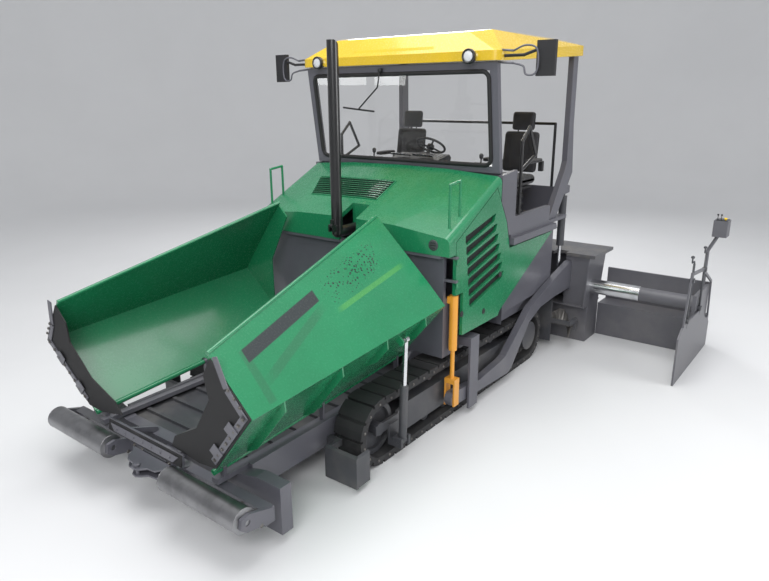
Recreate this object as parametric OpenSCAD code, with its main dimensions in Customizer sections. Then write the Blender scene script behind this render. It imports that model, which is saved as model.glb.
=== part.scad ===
// Tracked asphalt paver: crawler tracks, folding hopper, drive station and extending screed.
// +X points forward (to the hopper), +Y to the machine's left, +Z up.  Millimetres.
// Z = 0 is the ground, and the origin lies under the middle of the machine.

/* [Crawler tracks] */
// Distance from the sprocket axle to the idler axle
axle_span = 2960; // [2600:10:3400]
// Distance between the centre lines of the tracks
track_gauge = 2030; // [1900:10:2400]
// Width of a track shoe
shoe_w = 305; // [240:5:370]
// Height of a track over its pads
track_h = 640; // [600:10:660]
// Thickness of chain and pad together
track_t = 75; // [60:5:90]
// Pads on each track
pad_count = 46; // [36:1:56]
// Forward shift of the tracks' middle
track_mid_x = 50; // [-50:10:120]

/* [Hopper] */
// Length of a wing along its hinge
hopper_len = 2330; // [2000:10:2700]
// Height of the wing hinge at its front end
hinge_front_z = 540; // [530:5:580]
// Rise of the hinge line to the rear, in degrees
hinge_rise = 4.2; // [4:0.1:5]
// Distance of each wing hinge from the centre plane
hinge_y = 790; // [740:5:850]
// Width of a wing's floor
wing_floor = 810; // [700:10:880]
// Height of a wing's lower wall
wing_kick = 250; // [180:10:300]
// Height of the wing's rim over its floor, at the front
rim_front = 524; // [440:4:600]
// Height of the wing's rim over its floor, at the rear
rim_rear = 1046; // [900:4:1140]
// Thickness of the wing's plate
wing_t = 14; // [10:1:20]
// Angle of the left wing's floor at rest
lean_left = 50; // [42:1:54]
// Angle of the right wing's floor at rest
lean_right = 44; // [40:1:54]

/* [Push rollers] */
// Radius of a push roller
roller_r = 97; // [80:1:105]
// Length of a push roller
roller_len = 860; // [720:10:900]
// Running gap at each end of a roller
roller_gap = 6; // [4:1:12]

/* [Body] */
// Overhang of the body panels outside the tracks
body_over = 110; // [100:5:140]
// Thickness of a body panel or door
panel_t = 36; // [25:1:45]
// Gap round a door
door_gap = 8; // [6:1:12]
// Height of the windscreen
screen_h = 1075; // [950:5:1200]
// Lean of the windscreen, in degrees
screen_lean = 8; // [4:0.5:12]
// Radius of the exhaust stack
exhaust_r = 55; // [45:1:60]

/* [Screed] */
// Half width of the main screed
screed_half = 1500; // [1350:10:1650]
// Reach of each extension past the main screed
ext_out = 1290; // [1150:10:1400]
// Radius of the outer telescopic tube
tube_r = 95; // [85:1:100]
// Wall of the telescopic tubes
tube_wall = 9; // [7:1:12]
// Radius of the spreading augers
auger_r = 180; // [150:5:190]
// Thickness of a tow arm
arm_t = 80; // [60:5:90]

/* [Hidden] */
$fn = 48;
eps = 0.01;
run = 0.3;            // gap between curved faces that nearly touch
fit = 0.06;           // radial play of a shaft in its bore
seat_gap = 0.4;       // gap between pieces that are bolted or rest together
clear = 6;            // gap between pieces that move past each other

// Anchors along the machine
wheel_z = track_h / 2;
idler_x = track_mid_x + axle_span / 2;
sprocket_x = track_mid_x - axle_span / 2;
track_end_x = sprocket_x - track_h / 2;
bulk_x = 600;                           // front face of the bulkhead
bulk_t = 40;
hood_x = bulk_x + 70;                   // front face of the hood
wing_rear_x = bulk_x + 150;
wing_front_x = wing_rear_x + hopper_len;
cross_x = wing_front_x - 210;           // front face of the cross-member
cross_t = 110;
beam_x = cross_x + 80;                  // rear face of the push beam
beam_t = 95;
roller_x = beam_x + beam_t + 155;
roller_z = 400;
screen_x = bulk_x - 930;                // foot of the windscreen
door_rear_x = bulk_x - 1130;
chassis_rear_x = track_end_x - 190;
screed_x = chassis_rear_x - 510;        // front face of the main screed
auger_x = (chassis_rear_x + screed_x) / 2 + 15;
auger_z = 120 + auger_r;

// Anchors across the machine
track_in_y = track_gauge / 2 - shoe_w / 2;
track_out_y = track_gauge / 2 + shoe_w / 2;
frame_y = track_in_y - 18;              // outer face of the chassis
body_y = track_out_y + body_over;       // outer face of the body
arm_y = track_out_y + 22;               // inner face of a tow arm
tow_y = arm_y + arm_t / 2;
cyl_y = track_out_y + 75;               // axis of the wing cylinders

// Anchors in height
deck_z = 700;                           // top of the chassis
floor_z = 1750;                         // top of the operator's floor
hood_low_z = 1740;
hood_front_z = 1915;
hood_rear_z = 2385;
tow_x = bulk_x - 110;
tow_z = 250;

// Colours
green = [0.20, 0.55, 0.33];
steel = [0.42, 0.42, 0.47];
dark = [0.25, 0.26, 0.29];
black = [0.08, 0.08, 0.09];
yellow = [0.95, 0.80, 0.12];
chrome = [0.85, 0.86, 0.88];
rubber = [0.11, 0.11, 0.12];
orange = [0.90, 0.55, 0.15];
glass = [0.75, 0.85, 0.88, 0.4];

// ---------- helpers ----------

// Draws its children as they are, and again on the other side
module both() {
  children();
  mirror([0, 1, 0]) children();
}

// Draws its children on the left (side = 1) or the right (side = -1)
module on(side) {
  if (side > 0) children();
  else mirror([0, 1, 0]) children();
}

// A plate in the X-Z plane, from y0 to y1
module plate_y(points, y0, y1) {
  translate([0, y1, 0]) rotate([90, 0, 0]) linear_extrude(y1 - y0) polygon(points);
}

// A plate in the Y-Z plane, from x0 to x1
module plate_x(points, x0, x1) {
  translate([x0, 0, 0]) rotate([90, 0, 90]) linear_extrude(x1 - x0) polygon(points);
}

// A box between two corners
module box(a, b) {
  translate(a) cube(b - a);
}

// A round bar along Y from y0 to y1
module bar_y(x, z, r, y0, y1) {
  translate([x, y1, z]) rotate([90, 0, 0]) cylinder(r = r, h = y1 - y0);
}

// A round bar along X from x0 to x1
module bar_x(y, z, r, x0, x1) {
  translate([x0, y, z]) rotate([0, 90, 0]) cylinder(r = r, h = x1 - x0);
}

// A round rod between two points
module rod(a, b, r) {
  d = b - a;
  flat = norm([d.x, d.y]);
  translate(a) rotate([0, atan2(flat, d.z), atan2(d.y, d.x)]) cylinder(r = r, h = norm(d));
}

// A bent round rod through a list of points, with a ball at each bend
module rail(points, r) {
  for (i = [0 : len(points) - 2]) rod(points[i], points[i + 1], r);
  for (i = [1 : len(points) - 2]) translate(points[i]) sphere(r = r * 1.08, $fn = 24);
}

// A ring along Y: an eye with its bore
module eye_y(x, z, r, bore, y0, y1) {
  difference() {
    bar_y(x, z, r, y0, y1);
    bar_y(x, z, bore, y0 - 1, y1 + 1);
  }
}

// ---------- crawler tracks ----------

track_in_r = track_h / 2 - track_t;
pad_h = 28;
pad_gap = 0.14;       // share of the pitch left open between pads

// Point on the loop at distance s along it, r away from the axles' line
function loop_len(r) = 2 * axle_span + 2 * PI * r;
function loop_point(u, r) =
  let (a = axle_span / loop_len(track_h / 2), b = 0.5 - a, v = u - floor(u))
  v < a ? [idler_x - axle_span * v / a, wheel_z - r]
  : v < 0.5 ? let (t = 270 - 180 * (v - a) / b) [sprocket_x + r * cos(t), wheel_z + r * sin(t)]
  : v < 0.5 + a ? [sprocket_x + axle_span * (v - 0.5) / a, wheel_z + r]
  : let (t = 90 - 180 * (v - 0.5 - a) / b) [idler_x + r * cos(t), wheel_z + r * sin(t)];

// One pad gives four points of the outline: up, across, down and over the gap
function pad_points(i) =
  let (r0 = track_h / 2 - pad_h, r1 = track_h / 2)
  [for (k = [[pad_gap / 2, r0], [pad_gap / 2, r1], [0.5, r1],
    [1 - pad_gap / 2, r1], [1 - pad_gap / 2, r0]]) loop_point((i + k[0]) / pad_count, k[1])];

module stadium(r) {
  for (x = [idler_x, sprocket_x]) translate([x, wheel_z]) circle(r = r, $fn = 96);
  translate([sprocket_x, wheel_z - r]) square([axle_span, 2 * r]);
}

module track() {
  color(rubber) translate([0, track_out_y, 0]) rotate([90, 0, 0]) linear_extrude(shoe_w)
    difference() {
      polygon([for (i = [0 : pad_count - 1]) each pad_points(i)]);
      stadium(track_in_r);
    }
}

module track_left() { track(); }
module track_right() { mirror([0, 1, 0]) track(); }

beam_half = 75;       // half width of the slot that holds the rollers
bottom_roller_r = 62;

module track_frame() {
  mid = track_gauge / 2;
  low = wheel_z - track_in_r;
  roller_low_z = low + bottom_roller_r + run;
  front = idler_x - track_in_r - 20;
  rear = sprocket_x + track_in_r + 20;
  count = 7;
  step = (front - rear - 300) / (count - 1);
  // Side plates and the top plate of the frame
  for (y = [mid - 115, mid + 85])
    plate_y([[rear, low + 95], [rear + 60, low + 75], [front - 60, low + 75], [front, low + 95],
      [front, wheel_z + 70], [front - 180, wheel_z + 110], [rear + 180, wheel_z + 110],
      [rear, wheel_z + 70]], y, y + 30);
  box([rear + 180, mid - 85 - eps, wheel_z + 80], [front - 180, mid + 85 + eps, wheel_z + 110]);
  // Bottom rollers on their axles
  for (i = [0 : count - 1]) {
    x = rear + 150 + i * step;
    bar_y(x, roller_low_z, bottom_roller_r, mid - beam_half, mid + beam_half);
    bar_y(x, roller_low_z + 20, 22, mid - 85 - eps, mid + 85 + eps);
  }
  // Top rollers on short posts
  for (x = [track_mid_x - 620, track_mid_x + 620]) {
    bar_y(x, wheel_z + track_in_r - 45 - run, 45, mid - 70, mid + 70);
    box([x - 20, mid - 90, wheel_z + 109], [x + 20, mid - 60, wheel_z + track_in_r - 45]);
  }
  // Idler with its fork
  difference() {
    bar_y(idler_x, wheel_z, track_in_r - run, mid - 60, mid + 60);
    for (s = [mid - 61, mid + 25]) bar_y(idler_x, wheel_z, track_in_r - 45, s, s + 36);
  }
  bar_y(idler_x, wheel_z, 60, mid - 115, mid + 115);
  for (y = [mid - 115, mid + 85]) box([front - 5, y, wheel_z - 45], [idler_x + 60, y + 30, wheel_z + 45]);
  // Sprocket, hub and final-drive cover
  bar_y(sprocket_x, wheel_z, track_in_r - run, mid - 40, mid + 40);
  bar_y(sprocket_x, wheel_z, 175, mid - 130, track_out_y - 5);
  for (y = [mid - 115, mid + 85])
    box([sprocket_x - 60, y, wheel_z - 70], [rear + 5, y + 30, wheel_z + 70]);
  // Axle stub that carries the frame on the chassis
  for (x = [sprocket_x + 620, idler_x - 760])
    box([x - 90, frame_y, wheel_z - 90], [x + 90, mid - 115 + eps, wheel_z + 60]);
  // Bracket at the foot of the wing cylinder
  box([wing_cyl_x - 70, mid + 115 - eps, wing_cyl_z], [wing_cyl_x + 70, mid + 135, wheel_z]);
  box([wing_cyl_x - 70, mid + 115 - eps, wing_cyl_z - 45], [wing_cyl_x + 70, track_out_y + 20, wing_cyl_z + 15]);
  difference() {
    for (x = [wing_cyl_x - 70, wing_cyl_x + 42])
      box([x, track_out_y + 20 - eps, wing_cyl_z - 45], [x + 28, cyl_y + 40, wing_cyl_z + 45]);
    bar_x(cyl_y, wing_cyl_z, cyl_pin_r + fit, wing_cyl_x - 71, wing_cyl_x + 71);
  }
}

module track_frames() { color(dark) both() track_frame(); }

// Shields in front of the tracks that push loose material aside
module deflector() {
  x = idler_x + track_h / 2 + 190;
  y0 = track_in_y + 85;
  y1 = track_out_y + 130;
  plate_y([[x, 50], [x + 24, 50], [x + 24, 330], [x, 350]], y0, y1);
  plate_x([[y1 - 20, 60], [y1, 60], [y1, 330], [y1 - 20, 345]], x - 150, x + eps);
  // Arm that reaches back to the chassis between track and wing
  box([x - 170, y0, 270], [x + eps, y0 + 30, 330]);
  box([x - 170, frame_y, 270], [x - 120, y0 + eps, 330]);
}

module track_deflectors() { color(dark) both() deflector(); }

// ---------- chassis ----------

pivot_x = beam_x - 40;    // vertical pin of the push beam
pivot_pin_r = 18;

module chassis_side() {
  plate_y([[chassis_rear_x, 330], [chassis_rear_x + 160, 240], [cross_x - cross_t, 240],
    [cross_x - cross_t, 470], [bulk_x + 300, 500], [bulk_x + 40, deck_z],
    [chassis_rear_x, deck_z]], frame_y - 40, frame_y);
  // Longitudinal beam under the wing hinge
  box([wing_rear_x - 60, hinge_y - 60, 430], [wing_front_x - 25, frame_y - 39, 470]);
  // Lugs and pins of the wing hinge
  at_hinge(1, 0) for (x = hinge_stations) {
    translate([x - lug_t / 2, 0, 0]) rotate([0, 90, 0]) cylinder(r = 26, h = lug_t);
    translate([x - 60, 0, 0]) rotate([0, 90, 0]) cylinder(r = hinge_pin_r, h = 120);
  }
  for (x = hinge_stations)
    box([wing_front_x - x - 12, hinge_y - 22, 460], [wing_front_x - x + 12, hinge_y + 22, hinge_z(wing_front_x - x) - 8]);
}

// Lashing lugs, each with one bore for a shackle
lash_front_x = cross_x - cross_t - 45;
lash_rear_x = chassis_rear_x + 90;
lash_rear_y = frame_y - 90;
lash_y = 700;
lash_z = 185;
lash_t = 30;
lash_r = 25;

module chassis_frame() {
  color(steel) {
    both() chassis_side();
    // Deck over the conveyor tunnel, and its underside
    box([chassis_rear_x, -frame_y, deck_z - 20], [bulk_x - bulk_t, frame_y, deck_z]);
    box([chassis_rear_x + 160, -frame_y + 40 - eps, 240], [cross_x - cross_t, frame_y - 40 + eps, 256]);
    // Front cross-member, with high ends and a low middle
    plate_x([[-1260, 90], [-640, 90], [-560, 240], [560, 240], [640, 90], [1260, 90], [1260, 480],
      [1000, 480], [700, 405], [-700, 405], [-1000, 480], [-1260, 480]], cross_x - cross_t, cross_x);
    // Jaw that holds the push beam's pin
    box([cross_x - eps, -90, 250], [pivot_x + 30, 90, 268]);
    box([cross_x - eps, -90, 352], [pivot_x + 30, 90, 370]);
    translate([pivot_x, 0, 245]) cylinder(r = pivot_pin_r, h = 130);
    // Lashing lugs behind the cross-member and under the rear end
    both() difference() {
      union() {
        plate_y([[cross_x - cross_t + eps, 120], [cross_x - cross_t + eps, 260], [lash_front_x - 40, 220],
          [lash_front_x - 40, 130]], lash_y, lash_y + lash_t);
        plate_y([[lash_rear_x - 70, 330], [lash_rear_x - 45, 145], [lash_rear_x + 45, 145],
          [lash_rear_x + 70, 270]], frame_y - 40, frame_y - 40 + lash_t);
        box([lash_rear_x - 55, lash_rear_y - 50, lash_z - lash_t / 2],
          [lash_rear_x + 55, frame_y - 40 + eps, lash_z + lash_t / 2]);
      }
      bar_y(lash_front_x, lash_z, lash_r, lash_y - 1, lash_y + lash_t + 1);
      translate([lash_rear_x, lash_rear_y, lash_z - lash_t]) cylinder(r = lash_r, h = 2 * lash_t);
    }
    // Tow guides beside the body
    both() {
      box([tow_x - 395, arm_y + arm_t + 12, 60], [tow_x - 225, arm_y + arm_t + 36, 830]);
      box([tow_x - 395, track_out_y + 6, deck_z + 40], [tow_x - 225, arm_y + arm_t + 12 + eps, 830]);
      box([tow_x - 395, frame_y - eps, deck_z], [tow_x - 225, track_out_y + 6 + eps, 830]);
    }
  }
}

// Two slat conveyors side by side, with the chain guard between them
module slat_conveyor() {
  lane = frame_y - 40 - 5;
  top = 385;
  x0 = chassis_rear_x + 40;
  x1 = cross_x - cross_t - 20;
  count = 17;
  color(dark) {
    box([x0, -lane, top - 20], [x1, lane, top]);
    for (y = [-lane, lane - 60]) box([x0, y, 256], [x1, y + 60, top - 20 + eps]);
    box([x0, -55, top - eps], [x1, 55, top + 50]);
    for (i = [0 : count - 1]) {
      x = x0 + 120 + i * (x1 - x0 - 240) / (count - 1);
      for (s = [-1, 1])
        box([x - 18, s > 0 ? 55 - eps : -lane + 60, top - eps], [x + 18, s > 0 ? lane - 60 : -55 + eps, top + 28]);
    }
  }
}

// Wall between the hopper and the engine, above the conveyor tunnel
module hopper_bulkhead() {
  w = track_out_y + 10;
  color(steel) {
    plate_x([[-w, deck_z], [w, deck_z], [w, hood_low_z], [-w, hood_low_z]], bulk_x - bulk_t, bulk_x);
    // Ledge that carries the front of the hood
    box([bulk_x - eps, -w, hood_low_z - 30], [hood_x - 5, w, hood_low_z]);
    both() box([bulk_x - 160, w - 30, deck_z], [bulk_x - bulk_t + eps, w, 1300]);
    both() box([bulk_x - 160, 625, deck_z], [bulk_x - bulk_t + eps, 655, 1500]);
    // Hinges of the engine doors: a lug over each knuckle, with its pin
    both() for (z = door_hinges) {
      box([bulk_x - bulk_t, w - eps, z + 62], [bulk_x - 5, door_hinge_y + 12, z + 82]);
      box([door_hinge_x, door_hinge_y - 12, z + 62], [bulk_x - bulk_t + eps, door_hinge_y + 12, z + 82]);
      translate([door_hinge_x, door_hinge_y, z + 62]) cylinder(r = 12, h = 20);
      translate([door_hinge_x, door_hinge_y, z + 2]) cylinder(r = 6, h = 70);
    }
  }
}

// ---------- hopper wings ----------

kick_u = wing_floor + wing_kick * 0.08;
wall_lean = 5.2;
rim_u_front = kick_u + (rim_front - wing_kick) * tan(wall_lean);
rim_u_rear = kick_u + (rim_rear - wing_kick) * tan(wall_lean);
wing_len = hopper_len / cos(hinge_rise);
lug_t = 30;
hinge_pin_r = 15;
hinge_stations = [90, wing_len / 2, wing_len - 90];

// Puts its children on the hinge: x along it to the rear, y outward along the floor, z up
module at_hinge(side, lean) {
  on(side) translate([wing_front_x, hinge_y, hinge_front_z]) rotate([0, hinge_rise, 0])
    rotate([lean, 0, 0]) mirror([1, 0, 0]) children();
}

// Section of the wing's plate: floor, lower wall and upper wall
module wing_section(v) {
  u = kick_u + (v - wing_kick) * tan(wall_lean);
  polygon([[20, -wing_t], [wing_floor, -wing_t], [kick_u + wing_t, wing_kick], [u + wing_t, v],
    [u, v], [kick_u, wing_kick], [wing_floor - 8, 0], [20, 0]]);
}

// The wing in its own frame, before it is leaned
module wing_shape() {
  difference() {
    union() {
      rotate([90, 0, 90]) linear_extrude(wing_len) wing_section(rim_rear);
      rotate([0, 90, 0]) cylinder(r = 24, h = wing_len);
      translate([0, 0, -wing_t]) cube([wing_len, 45, wing_t]);
    }
    // The rim falls from the rear to the front
    translate([0, rim_u_rear + 200, 0]) rotate([90, 0, 0]) linear_extrude(800)
      polygon([[-10, rim_front - 2], [0, rim_front], [wing_len, rim_rear], [wing_len + 10, rim_rear + 200],
        [-10, rim_rear + 200]]);
    // Bore of the hinge, and room for its lugs
    translate([-1, 0, 0]) rotate([0, 90, 0]) cylinder(r = hinge_pin_r + fit, h = wing_len + 2);
    for (x = hinge_stations) box([x - lug_t / 2 - clear, -40, -40], [x + lug_t / 2 + clear, 38, 40]);
  }
  // Rounded lip along the rim
  translate([0, rim_u_front + wing_t / 2, rim_front])
    rotate([0, 90 - atan((rim_rear - rim_front) / wing_len), 0]) wing_lip();
  // Ribs under the floor, clear of the tracks
  for (x = [[0.12, 60], [0.38, 60], [0.62, under_track], [0.86, under_track]])
    translate([x[0] * wing_len, 0, 0]) rotate([90, 0, 90]) linear_extrude(14)
      polygon([[x[1], -wing_t + eps], [wing_floor, -wing_t + eps], [wing_floor - 60, -70], [x[1] + 140, -70]]);
  // Rear wall, a gusset between floor and walls
  translate([wing_len - wing_t, 0, 0]) rotate([90, 0, 90]) linear_extrude(wing_t)
    polygon([[250, -eps], [wing_floor - 5, -eps], [kick_u + 2, wing_kick], [rim_u_rear + 2, rim_rear - 30],
      [rim_u_rear - 160, rim_rear - 40], [rim_u_rear - 300, 420]]);
}

module wing_lip() {
  slope = atan((rim_rear - rim_front) / wing_len);
  run_len = wing_len / cos(slope);
  side = atan((rim_u_rear - rim_u_front) / run_len);
  rotate([-side, 0, 0]) cylinder(r = 17, h = run_len - 10, $fn = 24);
}

under_track = (track_out_y - hinge_y) / cos(13) + 30;
wing_cyl_x = wing_front_x - 1730;
wing_cyl_z = 170;
cyl_pin_r = 16;
lug_u = 686;
lug_v = -60;

module hopper_wing(side, lean) {
  color(green) at_hinge(side, lean) {
    wing_shape();
    // Lug of the lifting cylinder
    translate([(wing_front_x - wing_cyl_x) / cos(hinge_rise) - 45, 0, 0]) {
      translate([0, lug_u, lug_v]) rotate([0, 90, 0]) cylinder(r = 32, h = 16);
      box([0, lug_u - 32, lug_v], [16, lug_u + 32, -wing_t + eps]);
    }
  }
}

module hopper_wing_left() { hopper_wing(1, lean_left); }
module hopper_wing_right() { hopper_wing(-1, lean_right); }

// Rubber sheet across the front of the wing
module wing_flap(side, lean) {
  color(rubber) at_hinge(side, lean) translate([-12 - seat_gap, 0, 0]) rotate([90, 0, 90])
    linear_extrude(12) polygon([[90, -wing_t / 2], [wing_floor, -wing_t / 2], [kick_u + wing_t / 2, wing_kick],
      [rim_u_front + wing_t / 2, rim_front - 40], [rim_u_front - 170, rim_front - 60], [560, 330],
      [200, 300], [-120, 420], [-240, 400], [-60, 130]]);
}

module wing_flap_left() { wing_flap(1, lean_left); }
module wing_flap_right() { wing_flap(-1, lean_right); }

// Lifting cylinder: where the wing's lug stands at rest
function lug_angle(lean) = lean + atan(lug_v / lug_u);
function lug_y(lean) = hinge_y + norm([lug_u, lug_v]) * cos(lug_angle(lean));
function hinge_z(x) = hinge_front_z + (wing_front_x - x) * tan(hinge_rise);
function lug_z(lean) = hinge_z(wing_cyl_x) + norm([lug_u, lug_v]) * sin(lug_angle(lean));
function cyl_tilt(lean) = atan((lug_y(lean) - cyl_y) / (lug_z(lean) - wing_cyl_z));
function cyl_len(lean) = norm([lug_y(lean) - cyl_y, lug_z(lean) - wing_cyl_z]);
wing_barrel_len = 545;
wing_rod_low = 395;
wing_rod_r = 20.5;

module at_wing_cylinder(side, lean) {
  on(side) translate([wing_cyl_x, cyl_y, wing_cyl_z]) rotate([-cyl_tilt(lean), 0, 0]) children();
}

module wing_barrel(side, lean) {
  color(chrome * 0.8) at_wing_cylinder(side, lean) {
    difference() {
      translate([0, 0, 25]) cylinder(r = 38, h = wing_barrel_len - 25);
      translate([0, 0, 40]) cylinder(r = wing_rod_r + fit, h = wing_barrel_len);
    }
    translate([-41.5, 0, 0]) rotate([0, 90, 0]) cylinder(r = 30, h = 83);
    translate([-68, 0, 0]) rotate([0, 90, 0]) cylinder(r = cyl_pin_r, h = 136);
  }
}

module wing_rod(side, lean) {
  color(chrome) at_wing_cylinder(side, lean) {
    len = cyl_len(lean);
    translate([0, 0, wing_rod_low]) cylinder(r = wing_rod_r, h = len - wing_rod_low - 18);
    translate([-22, 0, len]) rotate([0, 90, 0]) difference() {
      cylinder(r = 25, h = 44);
      translate([0, 0, -1]) cylinder(r = 13, h = 46);
    }
  }
}

module wing_barrel_left() { wing_barrel(1, lean_left); }
module wing_barrel_right() { wing_barrel(-1, lean_right); }
module wing_rod_left() { wing_rod(1, lean_left); }
module wing_rod_right() { wing_rod(-1, lean_right); }

// ---------- hopper front ----------

apron_x = wing_front_x + 40;
apron_foot_x = cross_x - 60;

module hopper_apron() {
  color(steel) {
    plate_y([[apron_x, 505], [apron_x + 15, 505], [apron_x + 5, 600], [apron_x - 10, 600]], -500, 500);
    for (y = [-330, 300]) plate_y([[apron_foot_x, 405], [apron_foot_x + 50, 405], [apron_foot_x + 90, 432],
      [apron_x + eps, 520], [apron_x + eps, 560], [apron_foot_x, 440]], y, y + 30);
  }
}

module push_beam() {
  color(steel) difference() {
    union() {
      box([beam_x, -1280, 275], [beam_x + beam_t, 1280, roller_z]);
      // Bearing plates at each end of both rollers
      for (y = [roller_in_y - 38, roller_in_y + roller_len + roller_gap])
        both() plate_y([[beam_x + 20, 285], [roller_x + 10, roller_z - 70], [roller_x + 60, roller_z - 30],
          [roller_x + 50, roller_z + 45], [roller_x - 20, roller_z + 60], [beam_x + 20, roller_z - 5]],
          y, y + 38 - roller_gap);
      box([pivot_x - 30, -60, 275], [beam_x + eps, 60, 345]);
    }
    translate([pivot_x, 0, 200]) cylinder(r = pivot_pin_r + fit, h = 300);
    both() for (y = [roller_in_y - 39, roller_in_y + roller_len + roller_gap - 1])
      bar_y(roller_x, roller_z, roller_pin_r + fit, y, y + 42);
  }
}

roller_in_y = 390;
roller_pin_r = 22;

module push_roller(side) {
  color(chrome * 0.6) on(side) {
    bar_y(roller_x, roller_z, roller_r, roller_in_y, roller_in_y + roller_len);
    bar_y(roller_x, roller_z, roller_pin_r, roller_in_y - 30, roller_in_y + roller_len + 30);
  }
}

module push_roller_left() { push_roller(1); }
module push_roller_right() { push_roller(-1); }

// ---------- engine, hood and body ----------

// Outline of the hood across the machine, with a shallow crown and round shoulders
function hood_outline(low, shoulder, crown, inset) =
  let (w = body_y - inset, r = 70)
  concat([[-w, low], [w, low]],
    [for (a = [0 : 15 : 75]) [w - r + r * cos(a), shoulder - r + r * sin(a)]],
    [[w * 0.5, shoulder + crown * 0.8], [0, shoulder + crown], [-w * 0.5, shoulder + crown * 0.8]],
    [for (a = [105 : 15 : 180]) [-w + r + r * cos(a), shoulder - r + r * sin(a)]]);

hood_rear_x = screen_x + 25;

module hood_body(inset, front) {
  hull() {
    translate([front, 0, 0]) rotate([90, 0, 90])
      linear_extrude(2) polygon(hood_outline(hood_low_z - 40 * sign(inset), hood_front_z - inset, 75, inset));
    translate([hood_rear_x - 60 * sign(inset), 0, 0]) rotate([90, 0, 90])
      linear_extrude(2) polygon(hood_outline(hood_low_z - 40 * sign(inset), hood_rear_z - inset, 45, inset));
  }
}

// Side outline of an engine door
door_points = [[545, 1345], [545, 1860], [-215, 2275], [-450, 1900], [-530, 1660], [-600, 1340],
  [-345, 905], [400, 905], [400, 1345]];

module door_outline(grow) {
  offset(delta = grow) polygon(door_points);
}

door_hinge_x = bulk_x - 47;
door_hinge_y = body_y + 16;
door_hinges = [1420, 1648];   // foot of each knuckle

module engine_hood() {
  color(green) {
    difference() {
      hood_body(0, hood_x - 2);
      hood_body(panel_t, hood_x - panel_t);
      // Room for the doors
      both() translate([0, body_y + 1, 0]) rotate([90, 0, 0]) linear_extrude(panel_t + 2) door_outline(door_gap);
      // Cooling slots in the top
      for (i = [0 : 4]) {
        x = 40 + i * 62;
        z = hood_rear_z - (x - screen_x) * 0.47;
        box([x, -880 + i * 30, z - 150], [x + 30, 160, z + 200]);
      }
      // Recess for the exhaust
      box([hood_x - 230, -60, hood_low_z - 50], [hood_x + 10, 170, 2300]);
    }
    box([hood_x - 260, -60, hood_low_z + 120], [hood_x - 229, 170, 2080]);
    both() rail([[screen_x + 680, body_y - 95, 2040], [screen_x + 680, body_y - 95, 2400],
      [screen_x + 860, body_y - 95, 2380], [screen_x + 860, body_y - 95, 1955]], 13);
  }
}

module engine_block() {
  color(dark) {
    box([-450, -380, deck_z + seat_gap], [430, 380, 1560]);
    box([-300, -300, 1560 - eps], [300, 300, 1740]);
  }
}

module engine_door(side) {
  color(green) on(side) difference() {
    union() {
      translate([0, body_y, 0]) rotate([90, 0, 0]) linear_extrude(panel_t) polygon(door_points);
      for (z = door_hinges) {
        translate([door_hinge_x, door_hinge_y, z]) cylinder(r = 12, h = 60);
        box([door_hinge_x - 60, body_y - eps, z], [door_hinge_x, door_hinge_y, z + 60]);
      }
    }
    for (z = door_hinges) translate([door_hinge_x, door_hinge_y, z - 1]) cylinder(r = 6 + fit, h = 62);
    // Slanted louvres
    for (i = [0 : 6]) {
      z = 1830 - i * 108;
      x = 385 - i * 18;
      translate([x, body_y + 1, z]) rotate([90, 0, 0]) linear_extrude(panel_t + 2)
        polygon([[0, 0], [-30, -30], [-560 - i * 20, 122 + i * 2], [-590 - i * 20, 190 + i * 2], [-570, 195], [0, 60]]);
    }
  }
}

module engine_door_left() { engine_door(1); }
module engine_door_right() { engine_door(-1); }

stack_x = hood_x + 155;
stack_y = 55;
stack_z = 1935;             // joint between the fixed elbow and the stack
stack_hinge_x = stack_x + exhaust_r + 24;

module exhaust_stack() {
  color(black) {
    difference() {
      translate([stack_x, stack_y, stack_z + run]) cylinder(r = exhaust_r, h = 1725);
      translate([stack_x, stack_y, stack_z]) cylinder(r = exhaust_r - 4, h = 1760);
      translate([stack_x, stack_y, 3640]) rotate([0, -35, 0]) box([-200, -200, 0], [200, 200, 200]);
    }
    eye_y(stack_hinge_x, stack_z, 18, 8, stack_y - 14, stack_y + 14);
    box([stack_x + exhaust_r - 3, stack_y - 14, stack_z + 12], [stack_hinge_x + 8, stack_y + 14, stack_z + 60]);
  }
}

// Elbow out of the engine bay, with the hinge ears of the stack
module exhaust_base() {
  color(black) {
    difference() {
      union() {
        bar_x(stack_y, stack_z - 75, exhaust_r, hood_x - 229 + seat_gap, stack_x);
        translate([stack_x, stack_y, stack_z - 75]) sphere(r = exhaust_r);
        translate([stack_x, stack_y, stack_z - 75]) cylinder(r = exhaust_r, h = 75);
      }
      translate([stack_x, stack_y, stack_z - 60]) cylinder(r = exhaust_r - 4, h = 75);
    }
    for (y = [stack_y - 32, stack_y + 16]) {
      box([stack_x + exhaust_r - 12, y, stack_z - 60], [stack_hinge_x + 18, y + 16, stack_z - 4]);
      box([stack_x + exhaust_r + 6, y, stack_z - 5], [stack_hinge_x + 18, y + 16, stack_z + 12]);
    }
    bar_y(stack_hinge_x, stack_z, 8 - fit, stack_y - 30, stack_y + 30);
  }
}

// Closed body between the engine and the rear end
housing_y = arm_y - 6;

module rear_housing() {
  color(steel) difference() {
    plate_y([[door_rear_x - 90, deck_z], [chassis_rear_x + 30, deck_z], [chassis_rear_x + 30, 1600],
      [chassis_rear_x + 330, floor_z - 39], [door_rear_x - 90, floor_z - 39]], -housing_y, housing_y);
    // Wheel-arch line above the tracks
    both() plate_y([[door_rear_x - 91, deck_z - 1], [chassis_rear_x + 29, deck_z - 1], [chassis_rear_x + 29, 900],
      [sprocket_x, 850], [door_rear_x - 91, 830]], track_out_y - 40, housing_y + 1);
  }
}

module rear_panels() {
  color(green) both() plate_y([[-560, 1600], [-1700, 1600], [-440, 950], [-372, 905], [-616, 1340]],
    housing_y, body_y - 20);
}

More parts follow.
